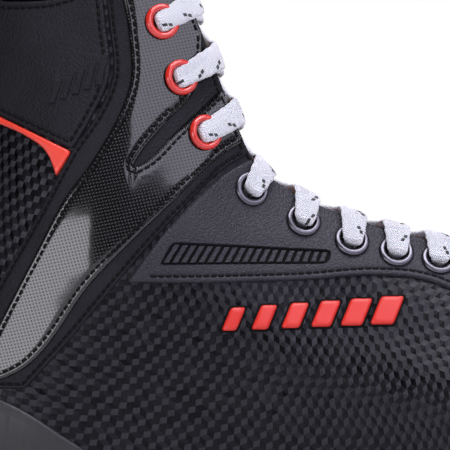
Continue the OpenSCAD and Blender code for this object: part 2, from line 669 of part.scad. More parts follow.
// Rise of the runner's edge from the ice at a place along it.
function rocker(x) = let (d = max(0, abs(x) - flat_l / 2)) rocker_r - sqrt(rocker_r * rocker_r - d * d);
module runner() {
    half = runner_l / 2;
    edge_pts = [for (k = [-10:10]) let (x = k * (half - 7) / 10) [x, rocker(x)]];
    color("#c9ccd1") difference() {
        plate(runner_t) polygon(concat(
            edge_pts,
            [[half - 1.5, 7], [half, 13], [half - 3, runner_show + 1], [half - 8, SLOT_TOP - 1.2],
             [8 - half, SLOT_TOP - 1.2], [3 - half, runner_show + 1], [-half, 13], [1.5 - half, 7]]
        ));
        for (x = BOLTS_X) translate([x, 0, BOLT_Z]) rotate([90, 0, 0])
            cylinder(r = bolt_r + 0.1, h = 20, center = true, $fn = 48);
    }
}
module runner_bolts() {
    color("#9a9da3") for (x = BOLTS_X) translate([x, 0, BOLT_Z]) rotate([90, 0, 0]) difference() {
        union() {
            cylinder(r = bolt_r, h = 11, center = true, $fn = 48);
            translate([0, 0, 4.3]) cylinder(r = 4.4, h = 2.2, $fn = 48);
        }
        translate([0, 0, 5.2]) cylinder(r = 1.7, h = 3, $fn = 6);
    }
}
module runner_nuts() {
    color("#9a9da3") for (x = BOLTS_X) translate([x, 0, BOLT_Z]) rotate([90, 0, 0]) difference() {
        translate([0, 0, -6.6]) cylinder(r = 4.4, h = 2.3, $fn = 48);
        cylinder(r = bolt_r + 0.05, h = 20, center = true, $fn = 48);
    }
}
module rivet(p) {
    base = sole_z(p[0]);
    translate([p[0], p[1], 0]) {
        translate([0, 0, base - outsole_t - flange_t - 0.5])
            cylinder(r = rivet_r, h = outsole_t + flange_t + board_t + 1, $fn = 48);
        translate([0, 0, base - outsole_t - flange_t - 1.3]) cylinder(r1 = 3.4, r2 = 4.2, h = 1.2, $fn = 48);
        translate([0, 0, base + board_t + 0.15]) cylinder(r1 = 4, r2 = 3.2, h = 0.7, $fn = 48);
    }
}
module rivets(places) {
    color("#b9a27a") for (p = places) rivet(p);
}

outsole();
lasting_board();
footbed();
quarter(-1);  // quarter_lateral
quarter(1);  // quarter_medial
toe_cap();
toe_lining();
lining(-1);  // lining_lateral
lining(1);  // lining_medial
heel_counter();
back_stay();
collar_roll();
eyestay(-1);  // eyestay_lateral
eyestay(1);  // eyestay_medial
strap_base(-1);  // strap_base_lateral
strap_base(1);  // strap_base_medial
strap(-1);  // strap_lateral
strap(1);  // strap_medial
ankle_panel(-1);  // ankle_panel_lateral
ankle_panel(1);  // ankle_panel_medial
trim(-1);  // trim_lateral
trim(1);  // trim_medial
motif(-1);  // motif_lateral
motif(1);  // motif_medial
tongue();
tongue_top();
tendon_guard();
tendon_pad();
color("#3a3b40") eyelets(-1, 0, DARK - 1, dark_base);  // eyelets_dark_lateral
color("#3a3b40") eyelets(1, 0, DARK - 1, dark_base);  // eyelets_dark_medial
color(red) eyelets(-1, DARK, LEVELS, red_base);  // eyelets_red_lateral
color(red) eyelets(1, DARK, LEVELS, red_base);  // eyelets_red_medial
lace();
holder();
runner();
runner_bolts();
runner_nuts();
rivets(FRONT_RIVETS);  // rivets_front
rivets(REAR_RIVETS);  // rivets_rear
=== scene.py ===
import math

import bmesh
import bpy
import numpy as np
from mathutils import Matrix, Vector
from mathutils.geometry import delaunay_2d_cdt


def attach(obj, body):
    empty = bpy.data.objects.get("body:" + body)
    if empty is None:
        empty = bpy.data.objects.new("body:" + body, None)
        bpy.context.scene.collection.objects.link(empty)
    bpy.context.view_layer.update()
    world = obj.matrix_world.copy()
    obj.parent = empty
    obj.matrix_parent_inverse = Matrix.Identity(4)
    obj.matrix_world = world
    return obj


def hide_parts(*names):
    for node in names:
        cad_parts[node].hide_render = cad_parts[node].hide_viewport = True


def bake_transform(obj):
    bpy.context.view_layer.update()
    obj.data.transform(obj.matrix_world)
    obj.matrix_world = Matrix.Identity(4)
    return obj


# Looks of a right ice hockey skate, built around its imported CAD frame.
# Lengths are in millimetres until a mesh is made. +X is the toe, +Z is up, and the outer side is -Y.

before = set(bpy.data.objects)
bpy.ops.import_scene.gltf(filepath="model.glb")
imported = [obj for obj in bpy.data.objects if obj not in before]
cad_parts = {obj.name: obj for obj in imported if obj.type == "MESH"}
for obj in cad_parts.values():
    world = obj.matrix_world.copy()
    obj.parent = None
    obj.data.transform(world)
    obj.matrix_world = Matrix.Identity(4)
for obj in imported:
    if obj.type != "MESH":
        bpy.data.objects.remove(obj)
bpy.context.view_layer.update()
scene = bpy.context.scene
MM = 0.001
SIDES = {"lateral": -1, "medial": 1}


# ---- Camera ----
def make_camera():
    lens, sensor, view_width = 350, 36, 140.6
    focus = Vector((-45.7, -37, 148.7))
    data = bpy.data.cameras.new("camera")
    data.lens = lens
    data.sensor_width = sensor
    data.clip_start = 0.05
    data.clip_end = 20
    camera = bpy.data.objects.new("camera", data)
    scene.collection.objects.link(camera)
    camera.location = (focus - Vector((0, view_width * lens / sensor, 0))) * MM
    camera.rotation_euler = (math.pi / 2, 0, 0)
    scene.camera = camera


make_camera()

# ---- The upper's form, as in the CAD ----
SOLE_HEIGHT, SOLE_FALL, TOE_SWEEP = 66.2, 0.02, 7
SOLE = [
    [-140, 0], [-133, 20], [-112, 32], [-84, 34], [-57, 32], [-32, 32], [-8, 34], [16, 39],
    [40, 44], [60, 46.5], [76, 47], [93, 44.5], [110, 39.5], [127, 30.5], [138, 17.5], [141, 0]
]
LOW = [
    [-145, 0, 86], [-138, 22, 86], [-115, 36, 86], [-86, 38, 86], [-60, 36, 85], [-35, 36, 83],
    [-10, 38.5, 81], [15, 43, 79], [40, 48, 78], [60, 50, 77], [77, 50, 77], [95, 47, 77],
    [113, 42, 77], [131, 32.5, 77], [142, 18.5, 77], [145.5, 0, 77]
]
MIDDLE = [
    [-144, 0, 112], [-136, 21, 112], [-116, 35, 112], [-90, 39, 112], [-66, 39, 110], [-43, 38, 107],
    [-19, 39, 103], [6, 42, 99], [33, 45.5, 95], [55, 47.5, 92], [73, 47, 91], [92, 44, 90],
    [111, 39.5, 89], [129, 31, 88], [141, 18, 88], [145, 0, 88]
]
HIGH = [
    [-137, 0, 148], [-130, 19, 148], [-114, 33, 147], [-92, 40.5, 146], [-70, 41, 142], [-49, 37.5, 134],
    [-26, 34, 125], [-1, 35, 117], [26, 37.5, 111], [49, 38.5, 107], [67, 37.5, 105], [85, 34.5, 103],
    [103, 31, 101], [120.5, 24.5, 99.5], [133, 14.5, 98.5], [138, 0, 98]
]
UPPER = [
    [-132, 0, 190], [-125, 18, 188], [-109, 31, 186], [-89, 37, 187], [-69, 37, 189], [-52, 32.5, 163],
    [-32, 29, 146], [-6, 29, 134.5], [22, 29.5, 126.5], [45, 29, 121.5], [61, 25.5, 118.5], [76, 20, 116],
    [93, 17, 112.5], [110, 13.5, 108.8], [122.5, 8, 105.3], [128, 0, 104]
]
TOP = [
    [-131, 0, 226], [-124, 17, 221], [-107, 28.5, 219], [-86, 33, 227], [-69, 31, 241], [-45, 26, 186],
    [-31.5, 22, 163], [-9, 20, 151.3], [20, 18.5, 143.3], [44, 16, 137], [60, 9.5, 132.5], [69, 0, 129.5],
    [85, 0, 123.5], [101, 0, 116.5], [112, 0, 111], [118, 0, 107.5]
]
STATIONS = len(SOLE) - 1
MIRROR = np.array([1.0, -1.0, 1.0])
# The quarters end at this station, and the toe cap starts there.
TOE_START = 35 / 48 * STATIONS


def sole_z(x):
    return SOLE_HEIGHT - SOLE_FALL * x


def centre_y(x):
    return np.where(x < -60, 0, TOE_SWEEP * ((x + 60) / 200) ** 2)


def unit(v):
    return v / np.maximum(np.linalg.norm(v, axis=-1, keepdims=True), 1e-9)


def turn(count):
    """Even steps round a full circle."""
    return np.linspace(0, 2 * math.pi, count, endpoint=False)


def run_length(points):
    """Distance along a line of points from its start."""
    return np.concatenate([[0], np.cumsum(np.linalg.norm(np.diff(points, axis=0), axis=1))])


def with_neighbours(c):
    """A row's spline controls with one more before the heel and two past the toe, from the other side."""
    return np.concatenate([c[1:2] * MIRROR, c, c[-2:-1] * MIRROR, c[-3:-2] * MIRROR])


def row_controls(points):
    """Spline controls whose curve passes through the points of a row."""
    c = points.copy()
    for _ in range(8):
        e = with_neighbours(c)
        c = c + points - (e[:-3] + 4 * e[1:-2] + e[2:-1]) / 6
    return with_neighbours(c)


ROWS = [np.array([[x, w, sole_z(x)] for x, w in SOLE])] + [
    np.array(row, float) for row in (LOW, MIDDLE, HIGH, UPPER, TOP)
]
CONTROLS = np.stack([row_controls(row) for row in ROWS])


def weights(f):
    """Weights of the four controls round a place in a cubic spline."""
    return np.stack([(1 - f) ** 3, 3 * f**3 - 6 * f**2 + 4, -3 * f**3 + 3 * f**2 + 3 * f + 1, f**3], -1) / 6


def rib_ends(c):
    """Rib controls with one more below the sole edge and one past the top."""
    k = np.clip(1 - c[..., 5:6, 1:2] / 10, 0, 1)
    low = 2 * c[..., :1, :] - c[..., 1:2, :]
    high = (1 - k) * (2 * c[..., 5:6, :] - c[..., 4:5, :]) + k * c[..., 4:5, :] * MIRROR
    return np.concatenate([low, c, high], axis=-2)


def row_points(s):
    """Points of all six rows at stations s."""
    i = np.clip(np.floor(s).astype(int), 0, STATIONS - 1)
    w = weights(s - i)
    return sum(w[..., k, None, None] * np.moveaxis(CONTROLS[:, i + k], 0, -2) for k in range(4))


def form(s, t):
    """Points of the form at stations s, from 0 at the heel to 15 at the toe, and heights t from 0 to 1."""
    s, t = np.broadcast_arrays(np.asarray(s, float), np.asarray(t, float))
    p = row_points(np.clip(s, 0, STATIONS))
    c = p
    for _ in range(6):
        e = rib_ends(c)
        c = c + p - (e[..., :-2, :] + 4 * e[..., 1:-1, :] + e[..., 2:, :]) / 6
    e = rib_ends(c)
    u = np.clip(t, 0, 1) * 5
    j = np.minimum(np.floor(u).astype(int), 4)
    w = weights(u - j)
    return sum(
        w[..., k, None] * np.take_along_axis(e, (j + k)[..., None, None], -2)[..., 0, :] for k in range(4)
    )


def form_frame(s, t):
    """Points, outward normals and both tangents of the form."""
    s, t = np.broadcast_arrays(np.clip(s, 0, STATIONS), np.clip(t, 0, 1))
    s0, s1 = np.clip(s - 0.03, 0, STATIONS), np.clip(s + 0.03, 0, STATIONS)
    t0, t1 = np.clip(t - 0.005, 0, 1), np.clip(t + 0.005, 0, 1)
    p = form(s, t)
    ps = (form(s1, t) - form(s0, t)) / (s1 - s0)[..., None]
    pt = (form(s, t1) - form(s, t0)) / (t1 - t0)[..., None]
    n = unit(np.cross(pt, ps))
    n[..., 1] = np.where(p[..., 1] < 0.4, 0, n[..., 1])
    return p, unit(n), ps, pt


def to_side(side, p):
    """Points of the form carried to one side of the skate's curved centre line."""
    p = np.asarray(p, float)
    return np.stack([p[..., 0], side * np.maximum(p[..., 1], 0) + centre_y(p[..., 0]), p[..., 2]], -1)


# Coarse grid of the form, from which seek() starts.
LOOK_S, LOOK_T = np.meshgrid(np.linspace(0, 12, 97), np.linspace(0, 1, 41), indexing="ij")
LOOK = form(LOOK_S, LOOK_T)[..., [0, 2]].reshape(-1, 2)


def seek(places):
    """Stations and heights of the form under places in the side view, by Newton's steps."""
    places = np.asarray(places, float)
    near = ((places[:, None] - LOOK[None]) ** 2).sum(-1).argmin(1)
    s, t = LOOK_S.ravel()[near].copy(), LOOK_T.ravel()[near].copy()
    for _ in range(12):
        p, _, ps, pt = form_frame(s, t)
        gap = places - p[:, [0, 2]]
        det = ps[:, 0] * pt[:, 2] - pt[:, 0] * ps[:, 2]
        det = np.where(np.abs(det) < 60, np.where(det < 0, -60, 60), det)
        ds = (gap[:, 0] * pt[:, 2] - pt[:, 0] * gap[:, 1]) / det
        dt = (ps[:, 0] * gap[:, 1] - gap[:, 0] * ps[:, 2]) / det
        s = np.clip(s + np.clip(ds, -0.3, 0.3), 0, STATIONS)
        t = np.clip(t + np.clip(dt, -0.05, 0.05), 0, 1)
    return s, t


# ---- Shader helper ----
class Shader:
    """A material under construction: adds nodes, links them and returns their outputs."""

    def __init__(self, name, colour, roughness, **sockets):
        self.material = bpy.data.materials.new(name)
        self.material.use_nodes = True
        self.tree = self.material.node_tree
        self.surface = self.tree.nodes["Principled BSDF"]
        self.set("Base Color", (*colour, 1))
        self.set("Roughness", roughness)
        for key, value in sockets.items():
            self.set(key.replace("_", " "), value)

    def set(self, socket, value):
        if isinstance(value, bpy.types.NodeSocket):
            self.tree.links.new(value, self.surface.inputs[socket])
        else:
            self.surface.inputs[socket].default_value = value

    def add(self, kind, inputs, output=0, **settings):
        node = self.tree.nodes.new("ShaderNode" + kind)
        for key, value in settings.items():
            setattr(node, key, value)
        for key, value in inputs.items():
            if isinstance(value, bpy.types.NodeSocket):
                self.tree.links.new(value, node.inputs[key])
            else:
                node.inputs[key].default_value = value
        return node.outputs[output]

    def math(self, operation, a, b=0.0, c=0.0):
        return self.add("Math", {0: a, 1: b, 2: c}, operation=operation)

    def place(self):
        return self.add("TexCoord", {}, "Object")

    def noise(self, scale, detail=3.0, stretch=(1, 1, 1)):
        vector = self.add("Mapping", {"Vector": self.place(), "Scale": stretch})
        return self.add("TexNoise", {"Vector": vector, "Scale": scale, "Detail": detail})

    def cells(self, scale, feature="F1"):
        return self.add("TexVoronoi", {"Vector": self.place(), "Scale": scale}, "Distance", feature=feature)

    def range(self, value, low, high, to_low, to_high):
        return self.add("MapRange", {0: value, 1: low, 2: high, 3: to_low, 4: to_high})

    def mix(self, factor, a, b):
        a = a if isinstance(a, bpy.types.NodeSocket) else (*a, 1)
        b = b if isinstance(b, bpy.types.NodeSocket) else (*b, 1)
        return self.add("Mix", {0: factor, 6: a, 7: b}, 2, data_type="RGBA")

    def layout(self):
        """Both coordinates of the UV map, in millimetres."""
        parts = self.tree.nodes.new("ShaderNodeSeparateXYZ")
        self.tree.links.new(self.add("TexCoord", {}, "UV"), parts.inputs[0])
        return parts.outputs[0], parts.outputs[1]

    def off_centre(self, value, pitch):
        """Distance from the middle of the cell that a value falls in, in parts of the pitch."""
        place = self.math("FRACT", self.math("DIVIDE", value, pitch))
        return self.math("ABSOLUTE", self.math("SUBTRACT", place, 0.5))

    def bump(self, height, distance, strength=1.0, under=None):
        inputs = {"Height": height, "Distance": distance * MM, "Strength": strength}
        if under is not None:
            inputs["Normal"] = under
        normal = self.add("Bump", inputs)
        self.set("Normal", normal)
        return normal


# ---- Materials ----
def leather(name, colour, roughness=0.5, grain=1650, depth=0.26, sheen=0.04, shine=0.42):
    """Pebbled leather with a little wear and colour drift."""
    m = Shader(name, colour, roughness, Sheen_Weight=sheen, Sheen_Roughness=0.4, Specular_IOR_Level=shine)
    m.set("Sheen Tint", (0.75, 0.72, 0.9, 1))
    m.set("Specular Tint", (0.93, 0.9, 1, 1))
    pebble = m.cells(grain, "SMOOTH_F1")
    drift = m.noise(60, 4)
    fine = m.noise(5200, 2)
    light = tuple(c * 1.9 + 0.004 for c in colour)
    m.set("Base Color", m.mix(m.range(drift, 0.35, 0.75, 0, 0.6), colour, light))
    m.set("Roughness", m.range(pebble, 0.1, 0.7, roughness - 0.06, roughness + 0.16))
    under = m.bump(fine, 0.05, 0.5)
    m.bump(pebble, -depth, 1.0, under)
    return m.material


def smooth_plastic(name, colour, roughness, scuff=0.06, coat=0.0):
    """Moulded plastic or lacquer with faint waviness and scuffs."""
    m = Shader(name, colour, roughness, Coat_Weight=coat, Coat_Roughness=0.08)
    drift = m.noise(90, 5)
    scratch = m.noise(700, 3, (1, 0.2, 0.2))
    light = tuple(c * 1.04 + 0.008 for c in colour)
    m.set("Base Color", m.mix(m.range(drift, 0.4, 0.8, 0, 0.5), colour, light))
    m.set("Roughness", m.range(scratch, 0.35, 0.7, roughness - scuff / 2, roughness + scuff))
    m.bump(m.noise(1800, 2), 0.02, 0.4)
    return m.material


def metal(name, colour, roughness, grain=900, stretch=(1, 1, 1), depth=0.015):
    """Metal with a fine grain, which stretch draws out into brushed lines."""
    m = Shader(name, colour, roughness, Metallic=1.0)
    lines = m.noise(grain, 4, stretch)
    dark = tuple(c * 0.86 for c in colour)
    m.set("Base Color", m.mix(m.range(m.noise(120, 3), 0.35, 0.7, 0, 0.7), colour, dark))
    m.set("Roughness", m.range(lines, 0.3, 0.7, roughness - 0.02, roughness + 0.05))
    m.bump(lines, depth, 0.5)
    return m.material


def textile(name, colour, thread, depth):
    """Felt or cloth: small cells with fibre noise."""
    m = Shader(name, colour, 0.9, Sheen_Weight=0.3, Sheen_Roughness=0.5)
    cells = m.cells(thread, "F1")
    fibre = m.noise(thread * 2.5, 4, (1, 1, 0.4))
    light = tuple(c * 2.2 + 0.01 for c in colour)
    m.set("Base Color", m.mix(m.range(fibre, 0.35, 0.75, 0, 0.7), colour, light))
    under = m.bump(fibre, 0.1, 0.6)
    m.bump(cells, -depth, 0.9, under)
    return m.material


def waxed_thread(name):
    """Black waxed thread with a fine twist."""
    m = Shader(name, (0.001, 0.001, 0.0014), 0.6, Specular_IOR_Level=0.12)
    twist = m.noise(3800, 2, (1, 0.4, 1))
    m.set("Roughness", m.range(twist, 0.3, 0.7, 0.5, 0.7))
    m.bump(twist, 0.06, 0.7)
    return m.material


def dotted_gloss(name):
    """Glossy black synthetic with a slanted grid of fine pits."""
    pitch, pit, skew, climb = 1.04, 0.27, 0.28, 0.22
    m = Shader(name, (0.004, 0.004, 0.005), 0.16, Coat_Weight=0.25, Coat_Roughness=0.05)
    x, z = m.layout()
    du = m.off_centre(m.math("ADD", x, m.math("MULTIPLY", z, skew)), pitch)
    dv = m.off_centre(m.math("SUBTRACT", z, m.math("MULTIPLY", x, climb)), pitch)
    r = m.math("SQRT", m.math("ADD", m.math("MULTIPLY", du, du), m.math("MULTIPLY", dv, dv)))
    edge_of_pit = {0: r, 1: pit * 0.45, 2: pit * 1.15, 3: 0, 4: 1}
    dot = m.add("MapRange", edge_of_pit, interpolation_type="SMOOTHSTEP")
    wave = m.noise(140, 2)
    m.set("Roughness", m.range(dot, 0, 1, 0.28, 0.1))
    # Painted shade in the pits: their base colour is darker than the gloss round them.
    m.set("Base Color", m.mix(dot, (0.0005, 0.0005, 0.0007), (0.002, 0.002, 0.0025)))
    under = m.bump(wave, 0.08, 0.5)
    m.bump(dot, 0.07, 0.75, under)
    return m.material


def cube_cloth(name):
    """Glossy embossed cloth whose facets each carry a painted shade, light, mid or dark by the way the facet
    faces, with a little random tone.
    """
    m = Shader(name, (0.02, 0.02, 0.022), 0.24, Specular_IOR_Level=0.12)
    m.set("Specular Tint", (0.93, 0.9, 1, 1))
    facet_shade_and_tone = m.add("Attribute", {}, "Fac", attribute_name="facet_shade_and_tone")
    # Painted shade: the per-facet attribute takes each facet's base colour from near black to dark grey,
    # standing in for how light falls on the tilted facets.
    m.set("Base Color", m.mix(facet_shade_and_tone, (0.0004, 0.0004, 0.0007), (0.021, 0.0205, 0.0235)))
    weave = m.noise(2600, 2, (1, 1, 0.3))
    m.set("Roughness", m.range(weave, 0.3, 0.7, 0.22, 0.36))
    m.bump(weave, 0.05, 0.6)
    return m.material


def tracer_dash(m, along, across, middle, low):
    """A slanted dash at a place in each repeat of the lace: 1 inside it, else 0."""
    offset = m.math("SUBTRACT", along, middle)
    near = m.math("COMPARE", offset, 0.0, 0.58)
    level = m.math("ADD", across, m.math("MULTIPLY", offset, 0.45))
    return m.math("MULTIPLY", near, m.math("COMPARE", level, low, 0.64))


def lace_cloth(name):
    """White flat lace with herringbone ribs and pairs of slanted black tracer dashes."""
    repeat = 7.3
    m = Shader(name, (0.82, 0.8, 0.85), 0.85, Sheen_Weight=0.2, Subsurface_Weight=0.06)
    along, across = m.layout()
    slope = m.math("MULTIPLY", m.math("ABSOLUTE", across), 1.25)
    rib = m.math("PINGPONG", m.math("ADD", m.math("DIVIDE", along, 0.62), slope), 0.5)
    strand = m.math("PINGPONG", m.math("MULTIPLY", across, 1.1), 0.5)
    fibre = m.noise(3200, 3)
    cell = m.math("MULTIPLY", m.math("FRACT", m.math("DIVIDE", along, repeat)), repeat)
    pair = [tracer_dash(m, cell, across, middle, low) for middle, low in ((1.2, -1.7), (2.6, -2.7))]
    dashes = m.math("MAXIMUM", *pair)
    light = m.mix(m.range(fibre, 0.3, 0.8, 0, 1), (0.84, 0.82, 0.88), (0.95, 0.94, 0.97))
    shaded = m.mix(m.range(rib, 0.0, 0.2, 0.75, 0), light, (0.4, 0.38, 0.46))
    m.set("Base Color", m.mix(dashes, shaded, (0.012, 0.012, 0.015)))
    under = m.bump(strand, 0.25, 0.5)
    m.bump(rib, 0.9, 1.0, under)
    return m.material


MATERIALS = {
    "leather": leather("leather", (0.006, 0.0057, 0.0082)),
    "leather_fine": leather("leather_fine", (0.003, 0.0029, 0.004), 0.46, 1500, 0.18, 0.02, 0.2),
    "leather_dark": leather("leather_dark", (0.0028, 0.0027, 0.0036), 0.5, 1650, 0.26, 0.02, 0.22),
    "gloss": dotted_gloss("gloss_strap"),
    "cube": cube_cloth("cube_cloth"),
    "thread": waxed_thread("thread"),
    "red_trim": smooth_plastic("red_trim", (0.6, 0.035, 0.017), 0.38, coat=0.15),
    "red_motif": smooth_plastic("red_motif", (0.5, 0.013, 0.006), 0.42),
    "red_metal": smooth_plastic("red_eyelet", (0.46, 0.016, 0.01), 0.2, coat=0.5),
    "gunmetal": metal("gunmetal", (0.11, 0.105, 0.125), 0.28),
    "barrel": metal("eyelet_barrel", (0.05, 0.05, 0.06), 0.5),
    "lace": lace_cloth("lace_cloth"),
    "toe": smooth_plastic("toe_cap", (0.007, 0.007, 0.009), 0.34, 0.1, 0.1),
    "counter": smooth_plastic("heel_counter", (0.006, 0.006, 0.008), 0.5, 0.1),
    "rand": smooth_plastic("sole_rand", (0.016, 0.016, 0.018), 0.5, 0.12),
    "board": textile("board", (0.19, 0.15, 0.1), 700, 0.06),
    "footbed": textile("footbed", (0.05, 0.052, 0.06), 1500, 0.1),
    "lining": textile("lining", (0.02, 0.02, 0.023), 1100, 0.16),
    "felt": textile("felt", (0.045, 0.046, 0.052), 800, 0.22),
    "guard": leather("guard_skin", (0.014, 0.014, 0.017), 0.4, 1300, 0.1),
    "holder": smooth_plastic("holder_plastic", (0.8, 0.8, 0.82), 0.34, 0.08, 0.1),
    "steel": metal("runner_steel", (0.5, 0.51, 0.54), 0.3, 3500, (0.02, 1, 1), 0.0006),
    "bolt": metal("bolt_steel", (0.5, 0.5, 0.53), 0.3),
    "rivet": metal("rivet_metal", (0.5, 0.42, 0.28), 0.34),
    # Darker, duller material: painted shade on the deep floors of embossing, and the colour of the motif's
    # dark borders.
    "floor_shade_and_dark_border": Shader("deep_floor_shade_and_dark_border", (0.001, 0.001, 0.0015), 0.7, Specular_IOR_Level=0.1).material,
}


# ---- Mesh helpers ----
def new_piece(name, points, faces, material, body="boot", smooth=True, slot=None, replaces=(), uv=None):
    """Makes a mesh piece from points in millimetres; it rides on a body unless body is None."""
    mesh = bpy.data.meshes.new(name)
    mesh.from_pydata((np.asarray(points, float) * MM).tolist(), [], [list(map(int, f)) for f in faces])
    mesh.materials.append(MATERIALS[material])
    mesh.polygons.foreach_set("use_smooth", [smooth] * len(mesh.polygons))
    if uv is not None:
        layer = mesh.uv_layers.new(name="layout")
        corners = np.zeros(len(mesh.loops), int)
        mesh.loops.foreach_get("vertex_index", corners)
        layer.data.foreach_set("uv", np.asarray(uv, float)[corners].ravel())
    mesh.update()
    obj = bpy.data.objects.new(name, mesh)
    scene.collection.objects.link(obj)
    if body is not None:
        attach(obj, body)
    if replaces:
        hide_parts(*replaces)
    return obj


def clean(obj, weld=0.0, crisp=None):
    """Welds near points if asked, turns every face outwards and sharpens edges over crisp degrees."""
    bm = bmesh.new()
    bm.from_mesh(obj.data)
    if weld:
        bmesh.ops.remove_doubles(bm, verts=bm.verts, dist=weld * MM)
    bmesh.ops.dissolve_degenerate(bm, dist=1e-7, edges=bm.edges)
    bmesh.ops.recalc_face_normals(bm, faces=bm.faces)
    if crisp:
        for e in bm.edges:
            e.smooth = e.calc_face_angle(0) < math.radians(crisp)
    bm.to_mesh(obj.data)
    bm.free()
    obj.data.update()
    return obj


def grid_faces(ni, nj, start=0, closed_i=False, closed_j=False):
    """Quads of a grid of points numbered row by row from start."""
    i, j = np.meshgrid(np.arange(ni - (not closed_i)), np.arange(nj - (not closed_j)), indexing="ij")
    i1, j1 = (i + 1) % ni, (j + 1) % nj
    quads = np.stack([i * nj + j, i1 * nj + j, i1 * nj + j1, i * nj + j1], -1)
    return quads.reshape(-1, 4) + start


def rim_faces(line, inner):
    """Quads from a rim's points to the points that come inner places after them."""
    return [[int(x), int(y), int(y) + inner, int(x) + inner] for x, y in zip(line[:-1], line[1:])]


def tube_rings(centres, u, v, half_u, half_v, around):
    """Elliptic rings about centres, half_u wide along u and half_v along v."""
    a = turn(around)[None, :, None]
    return centres[:, None] + half_u * np.cos(a) * u[:, None] + half_v * np.sin(a) * v[:, None]


def loft(name, rings, material, **options):
    """A closed tube through rings of points, with a cap at each end."""
    rings = np.asarray(rings, float)
    n, m = rings.shape[:2]
    faces = grid_faces(n, m, closed_j=True).tolist()
    faces += [list(range(m)), list(range((n - 1) * m, n * m))]
    return clean(new_piece(name, rings.reshape(-1, 3), faces, material, **options))


def spline(points, samples):
    """Catmull-Rom curve through rows of numbers, with a count of samples in each span."""
    p = np.asarray(points, float)
    ends = np.concatenate([[2 * p[0] - p[1]], p, [2 * p[-1] - p[-2]]])
    f = np.linspace(0, 1, samples, endpoint=False)[:, None]
    spans = []
    for i in range(1, len(ends) - 2):
        a, b, c, d = ends[i - 1 : i + 3]
        spans.append(
            0.5 * (2 * b + (c - a) * f + (2 * a - 5 * b + 4 * c - d) * f**2 + (3 * b - a - 3 * c + d) * f**3)
        )
    return np.concatenate(spans + [p[-1:]])


# ---- Eyelet places ----
DARK_SPOTS = [
    [48, 130], [35, 133.8], [21.5, 137.1], [8.1, 139.6], [-6, 143.1], [-21.3, 149.6], [-37.9, 159.6]
]
RED_SPOTS = [[-53.2, 177.4], [-60.7, 194.6], [-66.3, 212], [-72, 229]]
DARK = len(DARK_SPOTS)
LEVELS = DARK + len(RED_SPOTS) - 1
HOLE_S, HOLE_T = seek(DARK_SPOTS + RED_SPOTS)
HOLES, HOLE_AXES = form_frame(HOLE_S, HOLE_T)[:2]


# ---- Lace, first of the pieces ----
LACE_W, LACE_T = 8.6, 1.7
OVER, UNDER = 3.5, -6
EDGE_TRIES = np.arange(4.1, 10, 0.02)
EDGE_LINE = row_points(EDGE_TRIES)[:, 5]
EDGE_RIBS = [
    EDGE_TRIES[((EDGE_LINE[:, [0, 2]] - hole[[0, 2]]) ** 2).sum(-1).argmin()] for hole in HOLES
]


def edge(level):
    """Throat edge at a level, which runs from 0 at the lowest pair of eyelets to LEVELS at the top pair."""
    k = max(0, min(math.floor(level), LEVELS - 1))
    f = level - k
    return row_points(np.array(EDGE_RIBS[k] * (1 - f) + EDGE_RIBS[k + 1] * f))[5]


def edge_run(level):
    v = edge(level + 0.1) - edge(level - 0.1)
    return unit(np.array([v[0], 0, v[2]]))


def throat_point(level, w, h):
    """A point in the throat: w across from the centre line, h above the line through both edges."""
    e, r = edge(level), edge_run(level)
    x = e[0] + r[2] * h
    return np.array([x, w + centre_y(x), e[2] - r[0] * h])


def hole_point(side, k, depth):
    """A point on the axis of eyelet k, at a depth outside the form."""
    return to_side(side, HOLES[k] + depth * HOLE_AXES[k])


def ring(point, level, half_w=LACE_W / 2, half_t=LACE_T / 2):
    """A ring of the lace: its centre, its width's direction, half its width and half its thickness."""
    return np.concatenate([point, edge_run(level), [half_w, half_t]])


def crossing(side, k, above):
    """From eyelet k on one side, over its edge, across and under the other side's edge."""
    w0, w1 = edge(k)[1], edge(min(k + 1, LEVELS + 0.6))[1]
    h = 1 if above else -1
    beside = to_side(-side, edge(k + 0.9) - 5.6 * HOLE_AXES[min(round(k + 0.9), LEVELS)])
    return [
        ring(hole_point(side, k, UNDER), k, 2.2, 0.9),
        ring(hole_point(side, k, 0), k, 2.2, 1.1),
        ring(hole_point(side, k, OVER), k, 3.3, 1.15),
        ring(throat_point(k + 0.12, side * (w0 + 1.5), 2.4), k + 0.12),
        ring(throat_point(k + 0.25, side * (w0 * 0.62), 1.9 if above else -0.4), k + 0.25),
        ring(throat_point(k + 0.5, 0, h), k + 0.5),
        ring(throat_point(k + 0.72, -side * w1 * 0.5, 0.3 if above else -1.5), k + 0.72),
        ring(beside, k + 0.9),
    ]


def lace_half(side, first):
    """Rings of one half of the lace, up through its eyelets and down inside the boot beside the tongue."""
    rings = []
    for k in range(LEVELS + 1):
        rings += crossing(side if k % 2 == 0 else -side, k, (k + first) % 2 == 0)
    end_side = side if LEVELS % 2 == 0 else -side
    inside = HOLES[LEVELS] + UNDER * HOLE_AXES[LEVELS]
    rings.append(ring(to_side(-end_side, inside), LEVELS + 0.6, 3, 0.7))
    rings.append(ring(to_side(-end_side, inside + [-3, 0, -9]), LEVELS + 0.4, 3, 0.7))
    return rings


